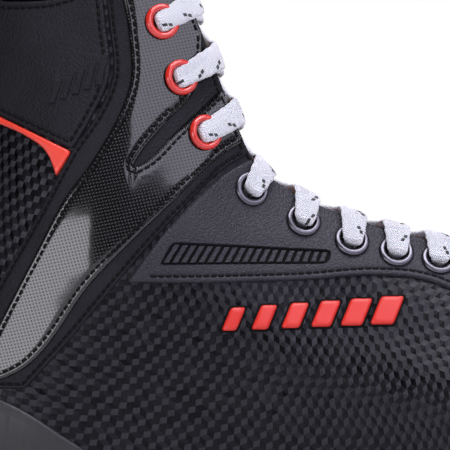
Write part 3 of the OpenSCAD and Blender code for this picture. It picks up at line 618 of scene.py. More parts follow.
def make_lace():
    sides_around = 20
    start = ring(throat_point(0, 0, -6.2), 0, 2.2, 0.7)
    route = spline(lace_half(-1, 0)[::-1] + [start] + lace_half(1, 1), 10)
    centre, width, half_w, half_t = route[:, :3], route[:, 3:6], route[:, 6:7], route[:, 7:8]
    run = unit(np.gradient(centre, axis=0))
    across = unit(width - (width * run).sum(-1, keepdims=True) * run)
    up = np.cross(run, across)
    length = run_length(centre)
    a = turn(sides_around)
    cx = np.sign(np.cos(a)) * np.abs(np.cos(a)) ** 0.55
    cy = np.sign(np.sin(a)) * np.abs(np.sin(a)) ** 0.8
    ripple = 1 + 0.03 * np.sin(length * 1.9)[:, None, None] + 0.02 * np.sin(length * 4.3 + 1)[:, None, None]
    rings = (
        centre[:, None]
        + cx[None, :, None] * half_w[:, None] * ripple * across[:, None]
        + cy[None, :, None] * half_t[:, None] * up[:, None]
    )
    uv = np.stack(np.broadcast_arrays(length[:, None], cx[None] * LACE_W / 2), -1).reshape(-1, 2)
    return loft("lace_ribbon", rings, "lace", slot="lace", replaces=["lace"], uv=uv)


make_lace()


# ---- Side-view outlines ----
THROAT = [
    [-37, 170], [-31, 164.5], [-23, 158.5], [-12, 154], [2, 150.5], [14, 148], [28, 146], [48, 143], [90, 143]
]
EYESTAY = THROAT + [
    [90, 90], [78, 97], [66, 101.5], [54, 107], [44, 114], [35, 121.5], [25, 128.3], [15, 131.6],
    [3, 132.6], [-22, 131.2], [-50, 130.6], [-76.5, 130.7], [-60.6, 151], [-46.5, 164.5]
]
STRAP_BASE = [
    [-36.5, 173], [-47, 165.6], [-61, 151.6], [-78.5, 131.6], [-94, 113], [-108, 97.5], [-120, 97.5],
    [-128, 104], [-126, 112], [-116, 130.9], [-104.4, 151.2], [-98.2, 162.8], [-92.6, 172.8],
    [-86, 182.5], [-81, 194], [-82, 212], [-85, 236], [-64, 260], [-30, 190]
]
STRAP = [
    [-38, 176.5], [-46, 171.5], [-65.1, 153.1], [-85.4, 132.8], [-112.3, 101.5], [-116, 100], [-120, 102],
    [-121.5, 106.5], [-116, 117.4], [-105.1, 138.4], [-94.4, 158.4], [-88, 167], [-82.3, 176.2],
    [-77.5, 186], [-75.4, 193], [-76, 210], [-79, 232], [-66, 255], [-54, 225], [-53.5, 206], [-55, 192.4],
    [-66, 179], [-73, 169.6], [-74.8, 166.2], [-71, 168.2], [-62, 177.5], [-48.5, 190.5], [-30, 190]
]
ANKLE = [
    [-150, 199.4], [-116, 183.1], [-93.2, 172.1], [-87, 182.6], [-82, 194], [-83, 212], [-86, 236],
    [-150, 240],
]
TRIM = [
    [-150, 199], [-116, 182.7], [-93.5, 171.6], [-98.3, 163.5], [-99.3, 167], [-101.9, 172.1],
    [-108, 176.6], [-116, 180.3], [-150, 196.5]
]
COUNTER = [[-150, 100], [-128, 98], [-112, 92.5], [-98, 84], [-84, 73], [-80, 60], [-150, 60]]
BACK_STAY = [[-160, 102], [-128, 101], [-100, 101], [-100, 240], [-160, 240]]


# ---- Panels cut from the form by a side-view outline ----
# Plane in which panels are meshed: station and height, scaled to about millimetres.
PLANE = np.array([18.0, 110.0])
HOLE_R = 3.1
# How far a panel's back lies below the height it starts at.
PANEL_LIP = 0.3


def curve(outline, spacing, corner=38):
    """Closed smooth curve through an outline's points, sharp where it turns by more than corner degrees."""
    p = np.asarray(outline, float)
    into, out = p - np.roll(p, 1, 0), np.roll(p, -1, 0) - p
    a, b = unit(into), unit(out)
    la, lb = np.linalg.norm(into, axis=1)[:, None], np.linalg.norm(out, axis=1)[:, None]
    smooth = unit(a * lb + b * la)
    sharp = (a * b).sum(1) < math.cos(math.radians(corner))
    made = []
    for i in range(len(p)):
        j = (i + 1) % len(p)
        start = b[i] if sharp[i] else smooth[i]
        end = a[j] if sharp[j] else smooth[j]
        length = lb[i, 0]
        f = np.linspace(0, 1, max(2, round(length / spacing)), endpoint=False)[:, None]
        made.append(
            (2 * f**3 - 3 * f**2 + 1) * p[i] + (f**3 - 2 * f**2 + f) * start * length
            + (3 * f**2 - 2 * f**3) * p[j] + (f**3 - f**2) * end * length
        )
    made = np.concatenate(made)
    for _ in range(2):
        made = (np.roll(made, 1, 0) + 2 * made + np.roll(made, -1, 0)) / 4
    return made


def inside(loop, points):
    """Which points lie inside a closed loop, by counting crossings."""
    found = np.zeros(len(points), bool)
    x0, y0 = loop[:, 0], loop[:, 1]
    x1, y1 = np.roll(x0, -1), np.roll(y0, -1)
    rise = np.where(y1 == y0, 1e-12, y1 - y0)
    for chunk in np.array_split(np.arange(len(points)), max(1, len(points) // 4000)):
        px, py = points[chunk, 0:1], points[chunk, 1:2]
        across = ((y0 > py) != (y1 > py)) & (px < (x1 - x0) * (py - y0) / rise + x0)
        found[chunk] = across.sum(1) % 2 == 1
    return found


def distance(points, loop, closed=True):
    """Distance of each 3-D point from a line through loop points."""
    a = loop if closed else loop[:-1]
    v = np.roll(loop, -1, 0) - loop if closed else loop[1:] - loop[:-1]
    vv = np.maximum((v * v).sum(1), 1e-12)
    found = np.zeros(len(points))
    for chunk in np.array_split(np.arange(len(points)), max(1, len(points) // 1500)):
        w = points[chunk, None] - a[None]
        f = np.clip((w * v).sum(-1) / vv, 0, 1)
        found[chunk] = np.sqrt(((w - f[..., None] * v) ** 2).sum(-1).min(1))
    return found


def facing_up(points, loop):
    """A loop's indices in anticlockwise order."""
    x, y = points[loop].T
    area = (x * np.roll(y, -1) - np.roll(x, -1) * y).sum()
    return loop if area > 0 else loop[::-1]


def triangulate(points, loops, keep_all, drop_any=()):
    """Triangles inside every loop of keep_all and outside every loop of drop_any. Loops are index lists."""
    loops = [facing_up(points, loop) for loop in loops]
    verts, _, faces, _, _, origins = delaunay_2d_cdt([Vector(p) for p in points], [], loops, 0, 1e-6, True)
    kept = [
        f for f, o in zip(faces, origins)
        if all(k in o for k in keep_all) and not any(k in o for k in drop_any)
    ]
    return np.array([[v.x, v.y] for v in verts]), np.array(kept)


def open_edges(faces):
    """Directed edges that belong to one triangle only."""
    edges = {}
    for f in faces:
        for k in range(3):
            edges[(int(f[k]), int(f[(k + 1) % 3]))] = True
    return [(a, b) for a, b in edges if (b, a) not in edges]


def border(faces):
    """The longest closed chain of open edges."""
    following = dict(open_edges(faces))
    best = []
    while following:
        start = next(iter(following))
        chain, at = [], start
        while at in following:
            chain.append(at)
            at = following.pop(at)
        if len(chain) > len(best):
            best = chain
    return best


def clip_to_form(outline, stations, spacing):
    """The part of a side-view outline that lies on the form between two stations, as a closed loop."""
    s0, s1 = stations
    ns = max(8, round((s1 - s0) * 16))
    s, t = np.linspace(s0, s1, ns), np.linspace(0, 1, 120)
    rim = np.concatenate([
        form(s, np.zeros(ns)), form(np.full(119, s1), t[1:]),
        form(s[::-1][1:], np.ones(ns - 1)), form(np.full(118, s0), t[::-1][1:-1]),
    ])[:, [0, 2]]
    cut = curve(outline, spacing)
    points = np.concatenate([cut, rim])
    loops = [list(range(len(cut))), list(range(len(cut), len(points)))]
    verts, faces = triangulate(points, loops, (0, 1))
    loop = verts[border(faces)]
    far = np.linalg.norm(loop - np.roll(loop, 1, 0), axis=1) > 0.2
    return loop[far]


def surface_steps(v, ps, pt):
    """Steps of station and height that go along vectors v on the form, whose tangents are ps and pt."""
    e, f, g = (ps * ps).sum(-1), (ps * pt).sum(-1), (pt * pt).sum(-1)
    b1, b2 = (v * ps).sum(-1), (v * pt).sum(-1)
    det = np.maximum(e * g - f * f, 1e-6)
    return np.stack([(g * b1 - f * b2) / det, (e * b2 - f * b1) / det], -1)


def inward_steps(ab, p, normal, ps, pt):
    """Plane steps that go one millimetre inwards from each point of a closed loop, along the surface."""
    run = unit(np.roll(p, -1, 0) - np.roll(p, 1, 0))
    step = surface_steps(np.cross(normal, run), ps, pt) * PLANE
    return -step if inside(ab, ab + step).mean() < 0.5 else step


def hole_loop(k):
    """Plane points of the round hole at eyelet k."""
    _, n, ps, pt = form_frame(HOLE_S[k], HOLE_T[k])
    u = unit(ps)
    v = np.cross(n, u)
    a = turn(24)[:, None]
    offset = HOLE_R * (np.cos(a) * u + np.sin(a) * v)
    return (np.array([HOLE_S[k], HOLE_T[k]]) + surface_steps(offset, ps, pt)) * PLANE


def at_plane(ab, place):
    """What place, which is form or form_frame, gives at points of the plane."""
    return place(ab[:, 0] / PLANE[0], ab[:, 1] / PLANE[1])


def inner_points(ab, rim, step, depths, grid):
    """Plane points inside a panel: a line at each depth from its rim and a triangular grid beyond them.
    Also the lines themselves by depth, each with the points of it that count."""
    lines = {}
    for d in depths:
        line = ab + d * step
        ok = inside(ab, line) & (distance(at_plane(line, form), rim) > 0.93 * d)
        lines[d] = (line, ok)
    low, high = ab.min(0), ab.max(0)
    gx, gy = np.meshgrid(np.arange(low[0], high[0], grid), np.arange(low[1], high[1], grid * 0.87))
    gx = gx + (np.arange(gx.shape[0]) % 2)[:, None] * grid / 2
    field = np.stack([gx.ravel(), gy.ravel()], -1)
    field = field[inside(ab, field)]
    field = field[distance(at_plane(field, form), rim) > depths[-1] + grid * 0.4]
    return np.concatenate([line[ok] for line, ok in lines.values()] + [field]), lines


def mesh_plane(outer, holes, shapes, loose):
    """Triangles inside a loop, with its holes left out and the edges of its embossed shapes kept."""
    loops = [outer] + holes + shapes
    for loop in loops[1:]:
        loose = loose[~inside(loop, loose)]
    firsts = np.cumsum([0] + [len(loop) for loop in loops])
    numbers = [list(range(a, b)) for a, b in zip(firsts[:-1], firsts[1:])]
    plane, faces = triangulate(np.concatenate(loops + [loose]), numbers, (0,), range(1, 1 + len(holes)))
    used = np.unique(faces)
    new_index = np.full(len(plane), -1)
    new_index[used] = np.arange(len(used))
    return plane[used], new_index[faces]


def build_panel(
    name, side, outline, low, top, material, stations, edge_r=0.8, spacing=0.9, grid=2.4, holes=(), seam=2.0,
    seam_depth=0.22, emboss=(), replaces=(), slot=None, thread_at=None, sunk=None,
):
    """A sheet with rounded edges that follows the form, from height low to its face at height top.
    A groove runs at distance seam from the edge, with stitches where thread_at is true. emboss is a list
    of (loop, height) in the side view, and sunk names the darker material painted on its deep floors as
    shade."""
    s, t = seek(clip_to_form(outline, stations, spacing))
    s = np.clip(s, *stations)
    rim, normal, ps, pt = form_frame(s, t)
    ab = np.stack([s, t], -1) * PLANE
    step = inward_steps(ab, rim, normal, ps, pt)
    groove = [seam - 0.45, seam, seam + 0.45] if seam else []
    beyond = [seam + 0.9, seam + 1.7] if seam else [edge_r + 0.8]
    depths = sorted({0.05, 0.2, 0.45, edge_r, *groove, *beyond})
    loose, lines = inner_points(ab, rim, step, depths, grid)
    embossed = [(np.stack(seek(shape), -1) * PLANE, level) for shape, level in emboss]
    plane, faces = mesh_plane(ab, [hole_loop(k) for k in holes], [shape for shape, _ in embossed], loose)
    p, n, _, _ = at_plane(plane, form_frame)
    d = distance(p, rim)
    q = np.clip(d / edge_r, 0, 1)
    height = low + (top - low) * np.sqrt(np.maximum(0, 1 - (1 - q) ** 2))
    if seam:
        sewn = thread_at(p[:, 0], p[:, 2]) if thread_at else 1
        height -= sewn * seam_depth * np.exp(-(((d - seam) / 0.5) ** 2))
    for shape, level in embossed:
        on_edge = np.min(((plane[:, None] - shape[None]) ** 2).sum(-1), 1) < 1e-6
        height[on_edge | inside(shape, plane)] = top + level
    outer = to_side(side, p + height[:, None] * n)
    inner = to_side(side, p + np.minimum(low - PANEL_LIP, height - 0.05)[:, None] * n)
    count = len(outer)
    walls = [[b, a, a + count, b + count] for a, b in open_edges(faces)]
    solid = faces.tolist() + (faces[:, ::-1] + count).tolist() + walls
    uv = np.concatenate([p[:, [0, 2]]] * 2)
    points = np.concatenate([outer, inner])
    obj = new_piece(name, points, solid, material, uv=uv, slot=slot, replaces=replaces)
    # Painted shade: faces whose points all lie deep in the embossing take the sunk material, which is darker
    # and duller than the panel.
    if sunk:
        obj.data.materials.append(MATERIALS[sunk])
        deep = (height < top - 0.6) & (d > seam + 0.6)
        marks = np.zeros(len(solid), int)
        marks[: len(faces)] = deep[faces].all(1)
        obj.data.polygons.foreach_set("material_index", marks)
    clean(obj, crisp=40)
    if seam and thread_at:
        line, ok = lines[seam]
        p, n, _, _ = at_plane(line, form_frame)
        lift = top - seam_depth + 0.1
        ok = ok & thread_at(p[:, 0], p[:, 2])
        THREADS[side].append((to_side(side, p + lift * n), to_side(side, p + (lift + 1) * n), ok))


# Stitch lines of each side: points on them, points above those, and which of them are sewn.
THREADS = {-1: [], 1: []}
STITCH_PITCH, STITCH_LENGTH, STITCH_R, STITCH_AROUND = 2.35, 1.95, 0.4, 8


def good_runs(ok):
    """Stretches of a closed line whose points all count, as arrays of their numbers."""
    n = len(ok)
    if ok.all():
        return [np.arange(n + 1) % n]
    runs = [[]]
    for i in (np.arange(n) + int(np.argmin(ok))) % n:
        if ok[i]:
            runs[-1].append(i)
        elif runs[-1]:
            runs.append([])
    return [np.array(run) for run in runs if run]


def follow(line, length, at):
    """Places at distances along a line of 3-D points."""
    return np.stack([np.interp(at, length, line[:, k]) for k in range(3)], -1)


def stitches_along(points, tips, ok):
    """Centres, directions and normals of stitches along the good stretches of a line."""
    made = []
    for run in good_runs(ok):
        line, tip = points[run], tips[run]
        length = run_length(line)
        count = int(length[-1] // STITCH_PITCH)
        if count < 1:
            continue
        at = (np.arange(count) + 0.5) * length[-1] / count
        centre = follow(line, length, at)
        along = follow(line, length, at + 0.4) - follow(line, length, at - 0.4)
        made.append((centre, unit(along), unit(follow(tip, length, at) - centre)))
    return made


def make_stitches(name, lines):
    """One piece of separate rounded stitches along the given lines."""
    along = np.array([-1, -0.86, -0.45, 0, 0.45, 0.86, 1]) * STITCH_LENGTH / 2
    radius = np.array([0.25, 0.8, 1, 1, 1, 0.8, 0.25]) * STITCH_R
    a = turn(STITCH_AROUND)
    across, up = np.outer(radius, np.cos(a)).ravel() * 1.15, np.outer(radius, np.sin(a)).ravel()
    stitch = np.stack([np.repeat(along, STITCH_AROUND), across, up], -1)
    size = len(stitch)
    stitch_faces = grid_faces(len(along), STITCH_AROUND, closed_j=True).tolist()
    stitch_faces += [list(range(STITCH_AROUND)), list(range(size - 1, size - 1 - STITCH_AROUND, -1))]
    points, faces = [], []
    for line, tips, ok in lines:
        for centre, run, normal in stitches_along(line, tips, ok):
            for c, r, w, u in zip(centre, run, unit(np.cross(normal, run)), normal):
                start = len(points) * size
                points.append(c + stitch[:, :1] * r + stitch[:, 1:2] * w + stitch[:, 2:] * u)
                faces += [[v + start for v in f] for f in stitch_faces]
    clean(new_piece(name, np.concatenate(points), faces, "thread"))


# ---- Embossed shapes ----
def shrink(loop, amount):
    """A small convex loop moved in by an amount on all sides."""
    c = loop.mean(0)
    v = loop - c
    reach = np.maximum(np.linalg.norm(v, axis=1, keepdims=True), 0.1)
    return c + v * np.maximum(0.1, 1 - amount / reach * 1.3)


def slanted(x0, x1, y0, y1, lean0, lean1):
    """Four-sided shape between two x places at the bottom and the same leaned at the top."""
    corners = np.array([[x0, y0], [x1, y0], [x1 + lean1, y1], [x0 + lean0, y1]], float)
    steps = np.linspace(0, 1, 5, endpoint=False)[:, None]
    return np.concatenate([a + (b - a) * steps for a, b in zip(corners, np.roll(corners, -1, 0))])


RIB_COUNT, RIB_LOW, RIB_START, RIB_END = 19, 136.3, -65.9, -13.6


def rib_top(x):
    return 142.9 - (x - RIB_START) / (RIB_END - RIB_START) * 2.9


def rib_lean(x):
    return 3.6 - (x - RIB_START) / (RIB_END - RIB_START) * 2.6


def rib_band():
    """Sunk band on the eyestay with a row of slanted ribs standing in it."""
    low_z, x0, x1 = RIB_LOW, RIB_START, RIB_END
    shapes = []
    width = (x1 - x0 - 0.8) / RIB_COUNT
    outer = np.array([
        [x0 - 0.5, low_z - 0.3], [x1 - 0.4, low_z - 0.3], [x1 + 0.9, low_z + 1],
        [x1 + 1.2, rib_top(x1) - 0.3], [x1 + 0.6, rib_top(x1) + 0.5],
        [x0 + rib_lean(x0) + 1, rib_top(x0) + 0.5], [x0 + rib_lean(x0) - 0.6, rib_top(x0)],
    ])
    shapes.append((curve(outer, 0.9, corner=15), -0.05))
    shapes.append((curve(outer + (outer.mean(0) - outer) * [0.011, 0.11], 0.9, corner=15), -0.95))
    for k in range(RIB_COUNT):
        a = x0 + 0.75 + k * width
        b = a + width - 0.95
        cell = slanted(a, b, low_z + 0.45, rib_top(a) - 0.25, rib_lean(a), rib_lean(b))
        shapes.append((cell, -0.92))
        shapes.append((shrink(cell, 0.2), -0.3))
    return shapes


def ankle_bars():
    """Five short raised bars on the ankle panel, leaning towards the toe."""
    shapes = []
    for k in range(5):
        x = -100.5 + 3.6 * k
        z = 186.5 + 1.4 * k
        cell = slanted(x, x + 2.1, z, z + 7.4 + 0.6 * k, 2.2, 2.2)
        shapes.append((cell, 0.02))
        shapes.append((shrink(cell, 0.25), 0.45))
    return shapes


def anywhere(x, z):
    return np.ones(len(x), bool)


def lower_edge(x, z):
    return (z < 137) & (x > -70)


def clear_of_heel(x, z):
    return x > -130


# ---- Quarter: embossed cube cloth over a shell ----
CUBE_U, CUBE_V = np.array([3.7, 0.0]), np.array([0.9, -3.4])
CUBE_RISE = 0.22


def arc_tables():
    """Stations, heights, arc length round the form near mid height, and arc length up each rib."""
    s = np.linspace(0, TOE_START, 260)
    t = np.linspace(0, 1, 200)
    round_line = form(s, np.full(len(s), 0.4))
    a = run_length(round_line)
    ribs = form(s[:, None], t[None, :])
    up = np.concatenate(
        [np.zeros((len(s), 1)), np.cumsum(np.linalg.norm(np.diff(ribs, axis=1), axis=2), axis=1)], axis=1
    )
    return s, t, a, up


ARC_S, ARC_T, ARC_A, ARC_UP = arc_tables()


def from_arc(a, b):
    """Station and height of the place at arc length a round the boot and b up from the sole edge."""
    s = np.interp(a, ARC_A, ARC_S)
    i = np.clip(np.round(np.interp(s, ARC_S, np.arange(len(ARC_S)))).astype(int), 0, len(ARC_S) - 1)
    up = ARC_UP[i]
    j = np.clip((up < b[:, None]).sum(1), 1, up.shape[1] - 1)
    rows = np.arange(len(b))
    below, above = up[rows, j - 1], up[rows, j]
    f = np.clip((b - below) / np.maximum(above - below, 1e-9), 0, 1)
    return s, np.clip(ARC_T[j - 1] + f * (ARC_T[j] - ARC_T[j - 1]), 0, 1)


def row_bend(a):
    """Rise of a row of cubes along the boot: it falls at the ankle and climbs towards the toe."""
    ankle = ARC_A[np.searchsorted(ARC_S, 4.6)]
    x = np.clip(a - ankle, -60, 70)
    beyond = a - ankle - x
    slope = -0.3 + 0.58 * (x + 10) / 80
    return -0.3 * x + 0.58 * ((x + 10) ** 2 / 160) + beyond * slope


def near_holes(p):
    """Which points lie within an eyelet's hole."""
    gaps = np.linalg.norm(p[:, None] - HOLES[None], axis=2)
    return gaps.min(1) < 3.3


def make_cubes(name, side):
    """Cube cloth: three rhombi round each raised corner, each with its own painted shade, light, mid or dark
    by the way its facet faces, plus a little random tone.
    """
    rng = np.random.default_rng(7)
    span_a, span_b = ARC_A[-1], ARC_UP.max()
    ni, nj = int(span_a / CUBE_U[0]) + 60, int((span_b + 120) / -CUBE_V[1]) + 40
    i, j = np.meshgrid(np.arange(-40, ni), np.arange(-nj // 2 - 10, nj), indexing="ij")
    base = (i[..., None] * CUBE_U - j[..., None] * CUBE_V).reshape(-1, 2)
    u, v = CUBE_U, CUBE_V
    corner = base + (u + v) / 3
    far = base + (u + v) * 2 / 3
    # The last number of each rhombus is its painted shade: 1.0 for the lit facet, 0.3 and 0.08 for the shaded
    # ones.
    rhombi = [
        (corner, base, far - v, base + u, 0.3),
        (corner, base + v, far - u, base, 0.08),
        (corner, base + u, far, base + v, 1.0),
    ]
    points, faces, facet_shades_and_tones = [], [], []
    for a0, a1, a2, a3, facet_shade_and_tone in rhombi:
        quad = np.stack([a0, a1, a2, a3], 1)
        quad = quad + np.stack([np.zeros(quad.shape[:2]), row_bend(quad[..., 0])], -1)
        middle = quad.mean(1)
        keep = (middle[:, 0] > -2) & (middle[:, 0] < span_a + 2)
        keep &= (middle[:, 1] > -2) & (middle[:, 1] < span_b)
        quad = quad[keep]
        s, t = from_arc(quad[..., 0].ravel(), quad[..., 1].ravel())
        p, n, _, _ = form_frame(s, t)
        rise = np.tile([CUBE_RISE, 0.0, 0.0, 0.0], len(quad))
        at_rim = (t >= 0.999) | (t <= 0.001)
        outer = p + np.where(at_rim, 0, rise)[:, None] * n
        outer, p = outer.reshape(-1, 4, 3), p.reshape(-1, 4, 3)
        diagonal = np.cross(outer[:, 2] - outer[:, 0], outer[:, 3] - outer[:, 1])
        good = (np.linalg.norm(diagonal, axis=1) > 0.6) & ~near_holes(p.mean(1))
        outer = outer[good]
        start = sum(len(x) for x in points)
        points.append(to_side(side, outer.reshape(-1, 3)))
        faces += (np.arange(len(outer) * 4).reshape(-1, 4) + start).tolist()
        # A little random tone is spread over each facet's painted shade.
        facet_shades_and_tones += np.clip(facet_shade_and_tone + rng.normal(0, 0.1, len(outer)), 0, 1).tolist()
    points = np.concatenate(points)
    obj = new_piece(name, points, faces, "cube", smooth=False, slot="quarter")
    layer = obj.data.color_attributes.new("facet_shade_and_tone", "FLOAT_COLOR", "CORNER")
    values = np.repeat(np.array(facet_shades_and_tones), 4)
    layer.data.foreach_set("color", np.stack([values, values, values, np.ones(len(values))], -1).ravel())
    clean(obj, weld=0.02)


def make_shell(
    name, sides, s_range, t_range, counts, inner, outer, material, walls, cut_holes=False, **options,
):
    """A closed shell between two depths, each a number or a function of station and height. walls names the
    rims that are walled: a at the heel end, b at the toe end, c below and d above."""
    s, t = np.meshgrid(np.linspace(*s_range, counts[0]), np.linspace(*t_range, counts[1]), indexing="ij")
    p, n, _, _ = form_frame(s, t)
    layers = [depth(s, t)[..., None] * n if callable(depth) else depth * n for depth in (outer, inner)]
    size = s.size
    quads = grid_faces(*counts)
    if cut_holes:
        quads = quads[~near_holes(p.reshape(-1, 3))[quads].any(1)]
    points, faces = [], []
    for side in sides:
        start = len(points) * size
        points += [to_side(side, p + layer).reshape(-1, 3) for layer in layers]
        faces += (quads + start).tolist() + (quads[:, ::-1] + start + size).tolist()
        index = np.arange(size).reshape(counts) + start
        rims = {"a": index[0], "b": index[-1], "c": index[:, 0], "d": index[:, -1]}
        for key in walls:
            faces += rim_faces(rims[key], size)
    return clean(new_piece(name, np.concatenate(points), faces, material, **options), weld=0.02)


def rounded_rim(depth_top, depth_low, s_range, t_range, reach_s, reach_t):
    """Depth that falls from depth_top to depth_low in a quarter circle towards chosen rims."""
    def depth(s, t):
        q = np.ones(np.broadcast(s, t).shape)
        for value, ends, reach in ((s, s_range, reach_s), (t, t_range, reach_t)):
            for end, r in zip(ends, reach):
                if r:
                    q = np.minimum(q, np.abs(value - end) / r)
        return depth_low + (depth_top - depth_low) * np.sqrt(np.maximum(0, 1 - (1 - np.clip(q, 0, 1)) ** 2))
    return depth


def lining_depth(s, t):
    """Depth of the lining's inner face, which thins out towards the throat."""
    throat = np.where((s > 3.8) & (s < 11.6), np.clip((t - 0.72) / 0.28, 0, 1), 0)
    return -2.3 - 4.2 * (1 - 0.55 * throat)


def make_boot_shells():
    for label, side in SIDES.items():
        make_cubes(f"cube_cloth_{label}", side)
        make_shell(
            f"quarter_core_{label}", [side], (0, TOE_START), (0, 1), (150, 70), -2.2, -0.12,
            "leather_fine", "cdb",
            cut_holes=True, slot="quarter", replaces=[f"quarter_{label}"],
        )
        make_shell(
            f"lining_soft_{label}", [side], (0, TOE_START), (0.1, 1), (120, 60), lining_depth, -2.4,
            "lining", "cdb",
            cut_holes=True, slot="lining", replaces=[f"lining_{label}"],
        )
    make_shell(
        "toe_cap_shell", [-1, 1], (TOE_START, STATIONS), (0, 1), (80, 60), -2.6,
        rounded_rim(1.0, 0.1, (TOE_START, STATIONS), (0, 1), (0.1, 0), (0.02, 0)), "toe", "bc",
        slot="toe_cap", replaces=["toe_cap"],
    )
    make_shell(
        "toe_lining_soft", [-1, 1], (TOE_START, STATIONS), (0.14, 1), (50, 40), -5, -3, "lining", "bc",
        slot="lining", replaces=["toe_lining"],
    )


# ---- Panels ----
def both_sides(name, outline, low, top, material, stations, stands_for=None, **options):
    """The same panel on each side, in place of that side's CAD node stands_for."""
    for label, side in SIDES.items():
        replaces = [f"{stands_for}_{label}"] if stands_for else ()
        build_panel(
            f"{name}_{label}", side, outline, low, top, material, stations, replaces=replaces, **options
        )


def make_panels():
    upper_holes = range(DARK, LEVELS + 1)
    both_sides(
        "eyestay_leather", EYESTAY, 0.1, 1.4, "leather", (0, TOE_START), "eyestay", holes=range(DARK),
        seam=2.1, seam_depth=0.38, emboss=rib_band(), sunk="floor_shade_and_dark_border", thread_at=lower_edge,
        slot="leather",
    )
    both_sides(
        "strap_base_leather", STRAP_BASE, 0.1, 1.25, "leather_fine", (0, 7.5), "strap_base",
        holes=upper_holes, seam=1.5, thread_at=anywhere, slot="leather",
    )
    both_sides(
        "strap_gloss", STRAP, 1.3, 2.45, "gloss", (0, 7.5), "strap", edge_r=1.0, spacing=0.7, grid=1.3,
        holes=upper_holes, seam=1.9, seam_depth=0.12, thread_at=anywhere, slot="gloss_strap",
    )
    both_sides(
        "ankle_leather", ANKLE, 0.1, 1.25, "leather_dark", (0, 5), "ankle_panel", emboss=ankle_bars(),
        seam=1.9, thread_at=clear_of_heel, slot="leather",
    )
    both_sides("trim_red", TRIM, 0.1, 1.4, "red_trim", (0, 5), "trim", seam=0, edge_r=0.7, slot="red_trim")


# ---- Motif: slanted raised bars, each on a lower dark border ----
MOTIF_X, MOTIF_Z, MOTIF_BARS, MOTIF_PITCH = -47, 115.6, 6, 9.3


def motif_bar(k, grow=0.0):
    """Outline of bar k, grown on all sides by about grow."""
    w, h = 4.8 + 0.55 * k, 7.4 + 0.3 * k
    x, z = MOTIF_X + k * MOTIF_PITCH, MOTIF_Z + k * 0.35
    lean = h * 0.42
    return [
        [x - 1.4 * grow, z - grow], [x + w + grow * 0.7, z - grow], [x + w + lean + 1.4 * grow, z + h + grow],
        [x + lean - 0.7 * grow, z + h + grow],
    ]


def make_motifs():
    for label, side in SIDES.items():
        for k in range(MOTIF_BARS):
            build_panel(
                f"motif_border_{label}_{k + 1}", side, motif_bar(k, 0.55), 0.0, 0.42, "floor_shade_and_dark_border", (3, 10),
                edge_r=0.4, seam=0, spacing=0.7, grid=1.6,
            )
            build_panel(
                f"motif_bar_{label}_{k + 1}", side, motif_bar(k), 0.1, 1.3, "red_motif", (3, 10), edge_r=1.1,
                seam=0, spacing=0.7, grid=1.6, slot="red_motif",
                replaces=[f"motif_{label}"] if k == 0 else (),
            )


make_boot_shells()
make_panels()
make_motifs()
for label, side in SIDES.items():
    make_stitches(f"stitches_{label}", THREADS[side])


# ---- Eyelets ----
EYELET_AROUND = 48
# Eyelets of each kind, height of their flange's underside, its rise and its material.
EYELET_KINDS = {
    "dark": (range(DARK), 1.55, 1.0, "gunmetal"),
    "red": (range(DARK, LEVELS + 1), 2.9, 1.35, "red_metal"),
}


def turned(side, places, profile, closed):
    """Points and faces of one profile of [radius, height] turned about the axis of each eyelet."""
    a = turn(EYELET_AROUND)
    points, faces = [], []
    for k in places:
        centre, n = to_side(side, HOLES[k]), HOLE_AXES[k] * [1, side, 1]
        u = unit(np.cross(n, [0, 0, 1]))
        out = np.cos(a)[:, None] * u + np.sin(a)[:, None] * np.cross(n, u)
        start = len(points) * EYELET_AROUND
        faces += grid_faces(len(profile), EYELET_AROUND, start, closed_i=closed, closed_j=True).tolist()
        points += [centre + r * out + h * n for r, h in profile]
    return np.concatenate(points), faces


def flange_profile(base, rise):
    """Rounded ring: up the outside, over the crown and down into the hole."""
    outer, hole = 5.6, 2.8
    middle, half = (outer + hole) / 2 + 0.35, (outer - hole) / 2 - 0.3
    over = [
        [middle + half * math.cos(a), base + 0.15 + rise * math.sin(a) ** 0.9]
        for a in np.linspace(0, math.pi, 15)
    ]
    bore = [[hole + 0.15, base - 0.1], [hole, base - 0.9], [hole, base - 3.2]]
    return [[outer - 0.25, base - 0.1]] + over + bore


def make_eyelets():
    for label, side in SIDES.items():
        for kind, (places, base, rise, finish) in EYELET_KINDS.items():
            clean(new_piece(
                f"eyelet_rings_{kind}_{label}",
                *turned(side, places, flange_profile(base, rise), False), finish,
                slot=f"eyelet_{kind}", replaces=[f"eyelets_{kind}_{label}"],
            ))
            barrel = [[3.25, base], [3.3, -4], [2.75, -4], [2.78, base - 0.6]]
            clean(new_piece(
                f"eyelet_barrels_{kind}_{label}", *turned(side, places, barrel, True), "barrel"
            ))


make_eyelets()


# ---- Heel counter and back stay ----
both_sides("heel_counter", COUNTER, 0.1, 1.35, "counter", (0, 4.4), seam=2.0, edge_r=0.9)
both_sides("back_stay", BACK_STAY, 0.1, 1.5, "leather_fine", (0, 0.36), seam=1.4)
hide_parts("heel_counter")
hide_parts("back_stay")


# ---- Collar roll ----
COLLAR_R, COLLAR_END = 3.3, 12 / 48 * STATIONS


